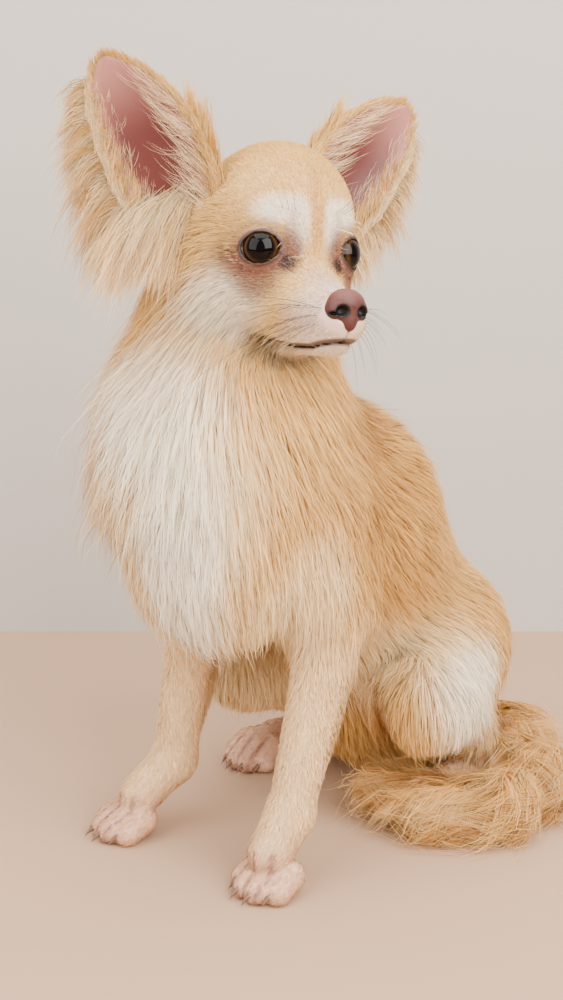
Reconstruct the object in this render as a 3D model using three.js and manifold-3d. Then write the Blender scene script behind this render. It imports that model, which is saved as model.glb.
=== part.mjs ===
// A long-coated chihuahua that sits with its body turned one way and its head the other, at life size, in millimetres.
// The dog's own front is -Y, its left is +X and up is +Z. The floor is z = 0.
// Soft forms are signed distances, rounded cones and balls melted into each other, which a surface net turns into
// closed meshes. The body is then parted along thin cuts, and the long coat is grown on it as tapered locks.
import * as THREE from "three";
import { mergeVertices } from "three/addons/utils/BufferGeometryUtils.js";
import Module from "manifold-3d";

const wasm = await Module();
wasm.setup();

// Driving sizes of the dog
const GAP = 0.32; // between parts that touch
const FLOOR = 0;
const HEAD_AT = new THREE.Vector3(3, -9, 252); // middle of the skull
const HEAD_TURN = { yaw: 68, pitch: -5, roll: 5.5 }; // degrees: nose to the left shoulder, chin down, crown to the left
const SKULL = { wide: 32, long: 35, high: 35, z: 4.5 };
const EYE = { side: 16.3, front: 20.5, low: 2.5, radius: 8.8 };
const EAR = { long: 61.5, halfWidth: 21.5, thick: 3.6, cup: 10, sweep: 10.5 }; // sweep carries the tip outward
const EARS = {
  left: { root: [30, 13.5, 16], up: [0.52, 0.01, 0.85], out: [0.11, -0.99, -0.05] }, // out is the way that its hollow faces
  right: { root: [-36, 12, 13.5], up: [-0.37, 0.02, 0.93], out: [-0.66, -0.71, -0.25] },
};
const CHEST = { y: -22, z: 150, radius: 41 };
const WAIST = { y: 30, z: 136, radius: 48 };
const RUMP = { y: 82, z: 66, radius: 49 };
const LEG_LEFT = { shoulder: [24, -14, 148], elbow: [36, -12, 110], wrist: [34, -38, 29], toe: [31, -59, 0] };
const LEG_RIGHT = { shoulder: [-24, -14, 148], elbow: [-34, -13, 110], wrist: [-40, -25, 29], toe: [-52, -56, 0] };
const HIND_LEFT = { hip: [27, 86, 66], knee: [45, 38, 57], hock: [43, 104, 11], toe: [44, 46, 0] };
const HIND_RIGHT = { hip: [-27, 86, 66], knee: [-45, 34, 57], hock: [-43, 104, 11], toe: [-52, 36, 0] };

// The tail's middle line and radii, from its root round the left hind leg to its tip
const TAIL = [
  [8, 118, 22, 13], [46, 122, 17, 13], [76, 92, 13, 14], [78, 56, 12, 13], [62, 36, 13, 12], [34, 32, 16, 9],
];

const TAIL_TURN = 78; // y of the cut between the tail's base and its plume

// Signed distances
const dot = (ax, ay, az, bx, by, bz) => ax * bx + ay * by + az * bz;
const melt = (a, b, k) => {
  const h = Math.max(k - Math.abs(a - b), 0) / k;
  return Math.min(a, b) - h * h * k * 0.25;
};
const carve = (a, b, k) => -melt(-a, b, k);
const meltAll = (k, ...forms) => (x, y, z) => forms.map((f) => f(x, y, z)).reduce((a, b) => melt(a, b, k));

// A rounded cone from a to b. flat squeezes it along side.
function cone(a, b, ra, rb, flat = 1, side = [1, 0, 0]) {
  const s = new THREE.Vector3(...side).normalize();
  const squeeze = 1 / flat - 1;
  const start = new THREE.Vector3(...a);
  const ba = new THREE.Vector3(...b).sub(start);
  ba.addScaledVector(s, ba.dot(s) * squeeze);
  const l2 = ba.lengthSq(), rr = ra - rb, a2 = Math.max(l2 - rr * rr, 1e-6), il2 = 1 / l2;
  return (x, y, z) => {
    let px = x - start.x, py = y - start.y, pz = z - start.z;
    const out = dot(px, py, pz, s.x, s.y, s.z) * squeeze;
    px += s.x * out; py += s.y * out; pz += s.z * out;
    const t = dot(px, py, pz, ba.x, ba.y, ba.z), u = t - l2;
    const ex = px * l2 - t * ba.x, ey = py * l2 - t * ba.y, ez = pz * l2 - t * ba.z;
    const x2 = ex * ex + ey * ey + ez * ez, t2 = t * t * l2, u2 = u * u * l2;
    const k = Math.sign(rr) * rr * rr * x2;
    if (Math.sign(u) * a2 * u2 > k) return Math.sqrt(x2 + u2) * il2 - rb;
    if (Math.sign(t) * a2 * t2 < k) return Math.sqrt(x2 + t2) * il2 - ra;
    return (Math.sqrt(x2 * a2 * il2) + t * rr) * il2 - ra;
  };
}

// An egg with half sizes r, turned by a 3x3 matrix.
function egg(c, r, turn = null) {
  const e = turn ? turn.elements : [1, 0, 0, 0, 1, 0, 0, 0, 1];
  return (x, y, z) => {
    const px = x - c[0], py = y - c[1], pz = z - c[2];
    const qx = dot(px, py, pz, e[0], e[1], e[2]) / r[0];
    const qy = dot(px, py, pz, e[3], e[4], e[5]) / r[1];
    const qz = dot(px, py, pz, e[6], e[7], e[8]) / r[2];
    const k0 = Math.hypot(qx, qy, qz), k1 = Math.hypot(qx / r[0], qy / r[1], qz / r[2]);
    return k1 > 1e-9 ? (k0 * (k0 - 1)) / k1 : -Math.min(...r);
  };
}

// Corners of a grid cell, its twelve edges as corner pairs, and the edges round each of its six sides
const CORNERS = [0, 1, 2, 3, 4, 5, 6, 7].map((c) => [c >> 2, (c >> 1) & 1, c & 1]);
const EDGES = [];
for (let m = 0; m < 8; m++)
  for (let bit = 4; bit; bit >>= 1)
    if (!(m & bit)) EDGES.push([m, m | bit]);
const SIDES = [];
for (const axis of [0, 1, 2])
  for (const level of [0, 1])
    SIDES.push(EDGES.map((e, n) => n).filter((n) => EDGES[n].every((c) => CORNERS[c][axis] === level)));
const edgeFrom = (corner, bit) => EDGES.findIndex(([m, n]) => m === corner && n === (corner | bit));

// A surface net over a grid whose steps may differ along each axis. A cell that two sheets pass through gets a
// point for each sheet, which keeps the solid closed and simple.
function net(form, xs, ys, zs) {
  const nx = xs.length, ny = ys.length, nz = zs.length;
  const at = (i, j, k) => (i * ny + j) * nz + k;
  const value = new Float64Array(nx * ny * nz);
  for (let i = 0; i < nx; i++)
    for (let j = 0; j < ny; j++)
      for (let k = 0; k < nz; k++) {
        const rim = !i || !j || !k || i === nx - 1 || j === ny - 1 || k === nz - 1;
        value[at(i, j, k)] = rim ? 1 : form(xs[i], ys[j], zs[k]);
      }
  const vertex = new Int32Array(nx * ny * nz * 12).fill(-1);
  const positions = [];
  for (let i = 0; i < nx - 1; i++)
    for (let j = 0; j < ny - 1; j++)
      for (let k = 0; k < nz - 1; k++) {
        const v = CORNERS.map((c) => value[at(i + c[0], j + c[1], k + c[2])]);
        const inside = v.filter((one) => one < 0).length;
        if (!inside || inside === 8) continue;
        const crossed = EDGES.map(([m, n]) => v[m] < 0 !== v[n] < 0);
        const sheet = EDGES.map((e, n) => n);
        const join = (m, n) => {
          const from = sheet[m], to = sheet[n];
          if (from !== to) sheet.forEach((one, p) => { if (one === from) sheet[p] = to; });
        };
        for (const around of SIDES) {
          const cut = around.filter((n) => crossed[n]);
          if (cut.length === 2) join(cut[0], cut[1]);
          if (cut.length < 4) continue;
          const inner = (n) => EDGES[n].find((c) => v[c] < 0);
          for (const m of cut) for (const n of cut) if (m < n && inner(m) === inner(n)) join(m, n);
        }
        for (const one of new Set(sheet.filter((_, n) => crossed[n]))) {
          let px = 0, py = 0, pz = 0, found = 0;
          EDGES.forEach(([m, n], e) => {
            if (!crossed[e] || sheet[e] !== one) return;
            const t = v[m] / (v[m] - v[n]);
            const a = CORNERS[m], b = CORNERS[n];
            px += xs[i + a[0]] + (xs[i + b[0]] - xs[i + a[0]]) * t;
            py += ys[j + a[1]] + (ys[j + b[1]] - ys[j + a[1]]) * t;
            pz += zs[k + a[2]] + (zs[k + b[2]] - zs[k + a[2]]) * t;
            found++;
            vertex[at(i, j, k) * 12 + e] = positions.length / 3;
          });
          positions.push(px / found, py / found, pz / found);
        }
      }
  const faces = [];
  const around = [
    { bit: 4, cells: [[0, 1, 1], [0, 0, 1], [0, 0, 0], [0, 1, 0]] },
    { bit: 2, cells: [[1, 0, 1], [1, 0, 0], [0, 0, 0], [0, 0, 1]] },
    { bit: 1, cells: [[1, 1, 0], [0, 1, 0], [0, 0, 0], [1, 0, 0]] },
  ].map(({ bit, cells }) => ({
    bit,
    cells: cells.map((c) => ({ c, edge: edgeFrom(c[0] * 4 + c[1] * 2 + c[2], bit) })),
  }));
  for (let i = 0; i < nx - 1; i++)
    for (let j = 0; j < ny - 1; j++)
      for (let k = 0; k < nz - 1; k++) {
        const here = value[at(i, j, k)] < 0;
        for (const { bit, cells } of around) {
          const there = value[at(i + (bit === 4), j + (bit === 2), k + (bit === 1))] < 0;
          if (here === there) continue;
          const [p, q, r, s] = cells.map(({ c, edge }) => vertex[at(i - c[0], j - c[1], k - c[2]) * 12 + edge]);
          if (here) faces.push(p, q, r, p, r, s);
          else faces.push(p, s, r, p, r, q);
        }
      }
  return solidFrom(positions, faces);
}

function solidFrom(positions, faces) {
  return new wasm.Manifold(
    new wasm.Mesh({ numProp: 3, vertProperties: new Float32Array(positions), triVerts: new Uint32Array(faces) }),
  );
}

// Grid lines from a to b, whose step grows from near to far away from the point fine.
function lines(a, b, near, far = near, fine = a, reach = b - a) {
  const made = [a];
  while (made[made.length - 1] < b) {
    const x = made[made.length - 1];
    const away = Math.min(Math.abs(x - fine) / reach, 1);
    made.push(x + near + (far - near) * away);
  }
  return made;
}

// A closed geometry as a solid that can be cut and joined
function solidOf(geometry) {
  const bare = geometry.clone();
  bare.deleteAttribute("normal");
  bare.deleteAttribute("uv");
  const merged = mergeVertices(bare, 1e-4);
  return solidFrom(merged.attributes.position.array, merged.index.array);
}

// The same solid with every point moved out by the gap, to cut its neighbours clear of it
function swollen(solid, by = GAP * 1.25) {
  const { vertProperties, triVerts } = solid.getMesh();
  const geometry = new THREE.BufferGeometry();
  geometry.setAttribute("position", new THREE.BufferAttribute(new Float32Array(vertProperties), 3));
  geometry.setIndex(new THREE.BufferAttribute(new Uint32Array(triVerts), 1));
  geometry.computeVertexNormals();
  const { position, normal } = geometry.attributes;
  return solidFrom(position.array.map((v, i) => v + normal.array[i] * by), triVerts);
}

// The same solid moved, with points nearer than the weld joined and set on a fine grid, which takes out the slivers
// that cuts leave
const WELD = 0.02, GRID = 1000;
function welded(solid, move) {
  const { vertProperties, triVerts } = solid.getMesh();
  const points = [], same = [];
  const cells = new Map();
  for (let i = 0; i < vertProperties.length; i += 3) {
    const p = [0, 1, 2].map((k) => Math.round((vertProperties[i + k] + move[k]) * GRID) / GRID);
    const near = [];
    const cell = p.map((v) => Math.floor(v / WELD));
    for (let c = 0; c < 27; c++) {
      const key = [cell[0] + (c % 3) - 1, cell[1] + (Math.floor(c / 3) % 3) - 1, cell[2] + Math.floor(c / 9) - 1].join();
      near.push(...(cells.get(key) ?? []));
    }
    const twin = near.find((j) => Math.hypot(...points[j].map((v, k) => v - p[k])) < WELD);
    if (twin === undefined) {
      cells.set(cell.join(), [...(cells.get(cell.join()) ?? []), points.length]);
      points.push(p);
    }
    same.push(twin ?? points.length - 1);
  }
  const faces = [];
  for (let i = 0; i < triVerts.length; i += 3) {
    const [a, b, c] = [0, 1, 2].map((k) => same[triVerts[i + k]]);
    if (a !== b && b !== c && a !== c) faces.push(a, b, c);
  }
  return largest(apart(solidFrom(points.flat(), faces)));
}

// The same solid with points that share one place, where the surface meets itself, each drawn a little inward
const APART = 0.03;
function apart(solid) {
  const { vertProperties, triVerts } = solid.getMesh();
  const geometry = new THREE.BufferGeometry();
  geometry.setAttribute("position", new THREE.BufferAttribute(new Float32Array(vertProperties), 3));
  geometry.setIndex(new THREE.BufferAttribute(new Uint32Array(triVerts), 1));
  geometry.computeVertexNormals();
  const { position, normal } = geometry.attributes;
  const keys = Array.from({ length: position.count }, (_, i) =>
    [position.getX(i), position.getY(i), position.getZ(i)].map((v) => Math.round(v * GRID)).join());
  const uses = new Map();
  for (const key of keys) uses.set(key, (uses.get(key) ?? 0) + 1);
  return solidFrom(position.array.map((v, i) =>
    (uses.get(keys[Math.floor(i / 3)]) > 1 ? v - normal.array[i] * APART : v)), triVerts);
}

const largest = (solid) => solid.decompose().sort((a, b) => b.volume() - a.volume())[0];

function meshFrom(name, solid, material) {
  const { vertProperties, triVerts } = largest(solid).getMesh();
  const geometry = new THREE.BufferGeometry();
  geometry.setAttribute("position", new THREE.BufferAttribute(new Float32Array(vertProperties), 3));
  geometry.setIndex(new THREE.BufferAttribute(new Uint32Array(triVerts), 1));
  const mesh = new THREE.Mesh(geometry, material);
  mesh.name = name;
  return mesh;
}

// The head's own frame: x to the dog's left, y to the back of the head, z up
const deg = THREE.MathUtils.degToRad;
const headTurn = new THREE.Matrix4()
  .makeRotationZ(deg(HEAD_TURN.yaw))
  .multiply(new THREE.Matrix4().makeRotationX(deg(HEAD_TURN.pitch)))
  .multiply(new THREE.Matrix4().makeRotationY(deg(HEAD_TURN.roll)));
const headAxes = new THREE.Matrix3().setFromMatrix4(headTurn);
const headPoint = (x, y, z) => new THREE.Vector3(x, y, z).applyMatrix4(headTurn).add(HEAD_AT).toArray();
const headWay = (x, y, z) => new THREE.Vector3(x, y, z).applyMatrix4(headTurn).toArray();
const intoHead = headTurn.clone().invert();
const scratch = new THREE.Vector3();
const asHead = (form) => (x, y, z) => {
  scratch.set(x, y, z).sub(HEAD_AT).applyMatrix4(intoHead);
  return form(scratch.x, scratch.y, scratch.z);
};

// Trunk
const trunk = meltAll(
  20,
  cone([0, CHEST.y, CHEST.z], [0, WAIST.y, WAIST.z], CHEST.radius, WAIST.radius),
  cone([0, WAIST.y, WAIST.z], [0, RUMP.y, RUMP.z], WAIST.radius, RUMP.radius, 0.95),
  egg([0, 91, 43], [49, 45, 46]),
  egg([-4, -38, 132], [39, 30, 40]), // breastbone
);
const neck = meltAll(
  16,
  cone([-9, -13, 182], headPoint(-3, 15, -12), 43, 31),
  egg([-12, -22, 174], [48, 44, 42]),
);

// Legs. Each toe's place is its distance out from the paw's middle line and back from the longest toe.
const TOES = [[-9, 5], [-3.1, 0], [3.1, 0], [9, 5]];
function paw(wrist, toe) {
  const w = new THREE.Vector3(...wrist), t = new THREE.Vector3(...toe);
  const ahead = new THREE.Vector3().subVectors(t, w).setZ(0).normalize();
  const across = new THREE.Vector3().crossVectors(ahead, new THREE.Vector3(0, 0, 1));
  const forms = [cone(wrist, w.clone().lerp(t, 0.52).add(new THREE.Vector3(0, 0, 2)).toArray(), 9.4, 9.2)];
  for (const [out, back] of TOES) {
    const tip = t.clone().addScaledVector(across, out).addScaledVector(ahead, -back).setZ(3.6);
    const knuckle = t.clone().addScaledVector(across, out * 0.82).addScaledVector(ahead, -back - 9).setZ(8.5);
    forms.push(cone(knuckle.toArray(), tip.toArray(), 5.6, 4.9));
  }
  return meltAll(2, ...forms);
}
const foreleg = ({ shoulder, elbow, wrist, toe }) => meltAll(
  6,
  cone(shoulder, elbow, 24, 16),
  cone(elbow, wrist, 14.2, 9.4),
  paw(wrist, toe),
);
const behind = (toe, y, z) => [toe[0], toe[1] + y, z];
const hindleg = ({ hip, knee, hock, toe }) => meltAll(
  8,
  cone(hip, knee, 37, 25, 0.8),
  cone(knee, hock, 18, 10),
  cone(hock, behind(toe, 18, 7), 9.5, 8.5),
  paw(behind(toe, 24, 6), toe),
);
const legs = {
  foreleg_left: foreleg(LEG_LEFT),
  foreleg_right: foreleg(LEG_RIGHT),
  hindleg_left: hindleg(HIND_LEFT),
  hindleg_right: hindleg(HIND_RIGHT),
};

// Head, in its own frame
const socket = (s) => [EYE.side * s, -EYE.front, -EYE.low];
const headMass = meltAll(
  7,
  meltAll(
    11,
    egg([0, 2, SKULL.z], [SKULL.wide, SKULL.long, SKULL.high]),
    egg([0, -8, 13], [24.5, 23, 25]), // forehead
    egg([0, -6, -14], [28.5, 25, 21.5]), // cheeks
  ),
  cone([0, -26, -22], [0, -50, -29], 14, 9.2, 1.15), // upper muzzle
  cone([0, -22, -31.5], [0, -46, -36.5], 9.5, 5.4, 1.25), // lower jaw
);
const headForm = (x, y, z) => carve(
  headMass(x, y, z),
  Math.hypot(Math.abs(x) - EYE.side - 3.8, y + EYE.front + 5.8, z + EYE.low) - 8.6, // the hollow round each eye
  2.5,
);
const head = asHead(headForm);

// Lids are a rim round each eye. The nose leather, its nostrils, and the mouth line are forms to join or cut.
function lids(x, y, z) {
  let d = 99;
  for (const s of [1, -1]) {
    const [ex, ey, ez] = socket(s);
    const px = x - ex, py = y - ey, pz = z - ez;
    const n = (px * s * 0.5 - py * 0.86) - 5.2; // how far in front of the ring
    const ring = Math.hypot(px * s * 0.86 + py * 0.5, pz * 1.08) - 8.4;
    d = Math.min(d, Math.hypot(ring, n) - 1.9);
  }
  return d;
}
const nostrils = (x, y, z) => Math.hypot(Math.abs(x) - 4.4, (y + 60.5) * 0.5, (z + 26) * 1.2) - 2;
const noseForm = (x, y, z) => carve(
  meltAll(3, egg([0, -55, -23], [8.4, 6.2, 6.6]), egg([0, -56, -28], [4.4, 4.6, 4]))(x, y, z),
  nostrils(x, y, z), 0.6,
);
function mouthForm(x, y, z) {
  const line = -38.4 + Math.max(-y - 44, 0) * 0.19 + Math.pow(Math.max(y + 30, 0), 1.4) * 0.123;
  return Math.max(Math.abs(z - line) - 0.9, y + 14, -headForm(x, y, z) - 3.4);
}

// A closed solid through rings of an even number of points each, drawn in to a point at the end. The root is closed
// by pairing a ring's points across it, so a ring may be a crescent.
function loft(rings, tip) {
  const n = rings[0].length;
  const positions = [...rings.flat(), tip].flatMap((p) => p.toArray());
  const faces = [];
  const last = (rings.length - 1) * n, end = rings.length * n;
  for (let i = 0; i < n; i++) {
    const j = (i + 1) % n;
    for (let r = 0; r < last; r += n) faces.push(r + i, r + j, r + n + j, r + i, r + n + j, r + n + i);
    faces.push(last + i, last + j, end);
  }
  for (let i = 0; i < n / 2; i++) {
    const a = i, b = i + 1, c = n - i - 1, d = (n - i) % n;
    if (a !== d) faces.push(b, a, d);
    if (b !== c) faces.push(b, d, c);
  }
  const solid = solidFrom(positions, faces);
  return solid.volume() > 0 ? solid : solidFrom(positions, faces.reverse());
}

// An ear is a cupped leaf. t runs from root to tip, w across from one rim to the other.
const EAR_ROWS = [-0.16, -0.04, 0.08, 0.2, 0.34, 0.5, 0.66, 0.8, 0.92];
const EAR_COLUMNS = 8;
function earFrame(s, extra = 0) {
  const side = s > 0 ? EARS.left : EARS.right;
  const root = new THREE.Vector3(...side.root);
  const up = new THREE.Vector3(...side.up).normalize();
  const out = new THREE.Vector3(...side.out);
  out.addScaledVector(up, -out.dot(up)).normalize();
  const across = new THREE.Vector3().crossVectors(up, out).multiplyScalar(-s);
  const point = (t, w, n) => {
    const c = THREE.MathUtils.clamp((t - 0.22) / 0.78, 0, 1);
    const half = EAR.halfWidth * Math.pow(1 - Math.pow(c, 2.6), 0.7) * (1 - 0.5 * Math.max(0.22 - t, 0));
    const cup = EAR.cup * (1 - 0.6 * THREE.MathUtils.clamp(t, 0, 1)) * (half / EAR.halfWidth);
    const spread = 1 + (extra * 2) / Math.max(half, 4);
    return root.clone()
      .addScaledVector(up, t * EAR.long)
      .addScaledVector(across, w * spread * half - EAR.sweep * t * t)
      .addScaledVector(out, cup * (w * w * spread * spread - 0.3) + n);
  };
  return { point, up, across, out };
}
function ear(s, extra = 0) {
  const { point } = earFrame(s, extra);
  const rings = EAR_ROWS.map((row, r) => {
    const t = r ? row : row - (extra * 2) / EAR.long;
    const ring = [];
    for (let i = 0; i <= EAR_COLUMNS; i++) {
      const w = (2 * i) / EAR_COLUMNS - 1;
      ring.push(point(t, w, (1 - w * w) * (EAR.thick / 2) + extra));
    }
    for (let i = EAR_COLUMNS - 1; i > 0; i--) {
      const w = (2 * i) / EAR_COLUMNS - 1;
      ring.push(point(t, w, -(1 - 0.8 * w * w) * (EAR.thick / 2) - extra));
    }
    return ring;
  });
  return loft(rings, point(1 + extra / EAR.long, 0, 0));
}

// A lock of hair: a flat, tapered, bending loft that leaves its root along way and ends along fall. It keeps
// clear of the body by lift once it has left its root.
const LOCK_ROWS = [[0, 0.7, 1.2], [0.24, 1, 1], [0.5, 0.92, 0.9], [0.74, 0.66, 0.7], [0.9, 0.34, 0.45]];
const SINK = 6;
const DOWN = new THREE.Vector3(0, 0, -1);
let seed = 41;
const random = () => {
  seed = (seed * 16807) % 2147483647;
  return seed / 2147483647;
};
const vary = (amount) => (random() * 2 - 1) * amount;
function slope(form, p, step = 0.6) {
  const at = (x, y, z) => form(p.x + x, p.y + y, p.z + z);
  return new THREE.Vector3(
    at(step, 0, 0) - at(-step, 0, 0), at(0, step, 0) - at(0, -step, 0), at(0, 0, step) - at(0, 0, -step),
  ).normalize();
}
function lock({ root, out, way, fall, long, wide, thick = 4, lift = 0, body = wholeBody }) {
  const start = root.clone().addScaledVector(out, -SINK);
  const steps = 12;
  const at = root.clone();
  const heading = new THREE.Vector3();
  const walk = [start, at.clone()];
  for (let i = 1; i <= steps; i++) {
    heading.copy(way).lerp(fall, i / steps).normalize();
    at.addScaledVector(heading, long / steps);
    const clear = lift * Math.min((i * 3) / steps, 1);
    const gap = clear - body(at.x, at.y, at.z);
    if (lift && gap > 0) at.addScaledVector(slope(body, at), gap);
    if (at.z < FLOOR + thick) at.z = FLOOR + thick;
    walk.push(at.clone());
  }
  const curve = new THREE.CatmullRomCurve3(walk);
  const rings = LOCK_ROWS.map(([t, w, n]) => {
    const p = curve.getPointAt(t), along = curve.getTangentAt(t);
    const across = new THREE.Vector3().crossVectors(along, out).normalize();
    const face = new THREE.Vector3().crossVectors(across, along).normalize();
    const half = (wide / 2) * w, deep = (thick / 2) * n;
    return [
      p.clone().addScaledVector(across, half),
      p.clone().addScaledVector(face, deep),
      p.clone().addScaledVector(across, -half),
      p.clone().addScaledVector(face, -deep),
    ];
  });
  return loft(rings, curve.getPointAt(1));
}

// A lock on an ear's rim, sunk into the leaf across its width
function earLock(root, away, fall, face, long) {
  return lock({
    root, out: face, way: away, fall, long, wide: 9, thick: 2.6,
  });
}

// Where a straight way out from a point inside a form leaves it
function leave(form, from, out, reach = 90) {
  let near = 0, far = reach;
  for (let i = 0; i < 24; i++) {
    const mid = (near + far) / 2;
    if (form(from.x + out.x * mid, from.y + out.y * mid, from.z + out.z * mid) < 0) near = mid;
    else far = mid;
  }
  return from.clone().addScaledVector(out, near);
}

const tailForm = meltAll(
  8,
  ...TAIL.slice(1).map(([x, y, z, r], i) => cone(TAIL[i].slice(0, 3), [x, y, z], TAIL[i][3], r)),
);

const wholeBody = (x, y, z) => {
  let d = melt(melt(trunk(x, y, z), neck(x, y, z), 16), head(x, y, z), 8);
  for (const leg of Object.values(legs)) d = melt(d, leg(x, y, z), 12);
  return d;
};

// Cutters
function halfSpace(point, normal, size = 400) {
  const box = new THREE.BoxGeometry(size, size, size);
  box.translate(0, 0, size / 2);
  const turn = new THREE.Quaternion().setFromUnitVectors(
    new THREE.Vector3(0, 0, 1), new THREE.Vector3(...normal).normalize());
  box.applyQuaternion(turn);
  box.translate(...point);
  return solidOf(box);
}

// Colours of the coat by part, and of what is bare
const COLOURS = {
  torso: 0xd9b07c, neck: 0xe0c398, head: 0xdfb987, tail_base: 0xdcb98a, tail_plume: 0xe6cfa6,
  ear_left: 0xd6ac78, ear_right: 0xd6ac78, eye_left: 0x2a1d12, eye_right: 0x2a1d12, nose: 0x84605a,
};
const PALE_LEG = 0xe6d0b4;
const WET = 0.15, LEATHERY = 0.45, SOFT = 0.9; // roughness
const materialOf = (name) => new THREE.MeshStandardMaterial({
  color: COLOURS[name] ?? PALE_LEG,
  roughness: name.startsWith("eye") ? WET : name === "nose" ? LEATHERY : SOFT,
});
const dog = new THREE.Group();

// Where the neck meets the head and the trunk
const NAPE = { at: headPoint(0, 12, -24), up: [0.25, -0.22, 0.94] };
const WITHERS = { at: [0, -10, 172], up: [0, -0.35, 0.94] };
const shifted = ({ at, up }, by) => {
  const n = new THREE.Vector3(...up).normalize();
  return new THREE.Vector3(...at).addScaledVector(n, by).toArray();
};
const above = (cut, by) => halfSpace(shifted(cut, by), cut.up);

const SPAN = {
  fore: { x: [6, 66], y: [-78, 30], z: [-8, 184] },
  hind: { x: [4, 84], y: [-2, 140], z: [-8, 124] },
};
const LEG_ROOM = 4.5; // how far a leg's cut lies outside the leg's own form
const turnedTo = (range, s) => (s > 0 ? range : [-range[1], -range[0]]);
const overFloor = halfSpace([0, 0, FLOOR], [0, 0, 1]);

const nodes = {};
const pockets = {};
for (const [name, form] of Object.entries(legs)) {
  const s = name.endsWith("left") ? 1 : -1;
  const fore = name.startsWith("fore");
  const box = fore ? SPAN.fore : SPAN.hind;
  const toe = (fore ? [LEG_LEFT, LEG_RIGHT] : [HIND_LEFT, HIND_RIGHT])[s > 0 ? 0 : 1].toe;
  const fine = [
    lines(...turnedTo(box.x, s), 6.6),
    lines(...box.y, 4.7, 14, toe[1], 45),
    lines(...box.z, 4.3, 15, 0, 45),
  ];
  const coarse = [lines(...turnedTo(box.x, s), 11), lines(...box.y, 11), lines(...box.z, 11)];
  const roomy = (x, y, z) => form(x, y, z) - LEG_ROOM;
  const cutter = net(roomy, ...coarse);
  nodes[name] = largest(net(wholeBody, ...fine).intersect(cutter).intersect(overFloor));
  pockets[name] = swollen(cutter);
}

const trunkLines = [lines(-96, 96, 15), lines(-92, 150, 15), lines(-8, 214, 15)];
let torso = net(wholeBody, ...trunkLines).intersect(overFloor);
for (const pocket of Object.values(pockets)) torso = torso.subtract(pocket);
nodes.torso = torso.subtract(above(WITHERS, -GAP));
nodes.neck = net(wholeBody, lines(-70, 62, 12), lines(-84, 56, 12), lines(140, 264, 12))
  .intersect(above(WITHERS, 0)).subtract(above(NAPE, -GAP))
  .subtract(pockets.foreleg_left).subtract(pockets.foreleg_right);

// The head with its ears, eyes, lids, nose leather, nostrils and mouth line
const around = (solid) => swollen(solid).add(solid);
const headPlace = headTurn.clone().setPosition(HEAD_AT).elements;
const placed = (solid) => solid.transform(headPlace);
const headLines = [lines(-40, 40, 5), lines(-68, 46, 3.6, 9, -68, 90), lines(-54, 44, 5)];
let skull = placed(net((x, y, z) => melt(wholeBody(...headPoint(x, y, z)), lids(x, y, z), 1.5), ...headLines));
skull = skull.intersect(above(NAPE, 0));
const ball = (radius, s) => placed(solidOf(new THREE.SphereGeometry(radius, 12, 8).translate(...socket(s))));
for (const [name, s] of [["left", 1], ["right", -1]]) {
  nodes[`ear_${name}`] = placed(ear(s));
  skull = skull.subtract(placed(ear(s, GAP * 4)));
  nodes[`eye_${name}`] = ball(EYE.radius, s);
  skull = skull.subtract(ball(EYE.radius + GAP * 1.5, s));
}
const noseLines = [lines(-12, 12, 2.6), lines(-66, -44, 2.6), lines(-37, -12, 2.6)];
nodes.nose = placed(net(noseForm, ...noseLines));
skull = skull.subtract(swollen(nodes.nose));
skull = skull.subtract(placed(net(mouthForm, lines(-24, 24, 4), lines(-64, -8, 4), lines(-43, -27, 1.3))));
nodes.head = skull;

// Claws, fused to their paws
for (const [name, leg] of Object.entries({
  foreleg_left: LEG_LEFT, foreleg_right: LEG_RIGHT, hindleg_left: HIND_LEFT, hindleg_right: HIND_RIGHT,
})) {
  const t = new THREE.Vector3(...leg.toe);
  const heel = name.startsWith("fore") ? leg.wrist : behind(leg.toe, 24, 6);
  const ahead = t.clone().sub(new THREE.Vector3(...heel)).setZ(0).normalize();
  const across = new THREE.Vector3().crossVectors(ahead, new THREE.Vector3(0, 0, 1));
  for (const [out, back] of TOES) {
    const root = t.clone().addScaledVector(across, out).addScaledVector(ahead, -back).setZ(5.2);
    const claw = new THREE.ConeGeometry(1.7, 8, 6, 1).translate(0, 4, 0);
    claw.applyQuaternion(new THREE.Quaternion().setFromUnitVectors(
      new THREE.Vector3(0, 1, 0), ahead.clone().setZ(-0.42).normalize()));
    claw.translate(...root.addScaledVector(ahead, 1.2).toArray());
    nodes[name] = nodes[name].add(solidOf(claw));
  }
  nodes[name] = nodes[name].intersect(overFloor);
}

// The tail, parted where it turns forward along the hind leg
const wholeTail = net(tailForm, lines(-12, 104, 9), lines(4, 144, 9), lines(-8, 44, 7.5));
for (const name of ["torso", "hindleg_left", "hindleg_right", "foreleg_left"])
  nodes[name] = nodes[name].subtract(swollen(wholeTail));
nodes.tail_base = largest(wholeTail.intersect(halfSpace([0, TAIL_TURN + GAP, 0], [0, 1, 0])).intersect(overFloor));
nodes.tail_plume = largest(wholeTail.intersect(halfSpace([0, TAIL_TURN, 0], [0, -1, 0])).intersect(overFloor));

// The coat's locks. Round the body an angle of 0 is the dog's front and 90 its right.
const round = (angle) => new THREE.Vector3(-Math.sin(deg(angle)), -Math.cos(deg(angle)), 0);
const wayOf = (out, share, down = 1) => out.clone().multiplyScalar(share).addScaledVector(DOWN, down).normalize();
const fuse = (name, locks, ...cuts) => {
  for (const one of locks) nodes[name] = nodes[name].add(cuts.reduce((left, cut) => left.subtract(cut), one));
};

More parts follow.
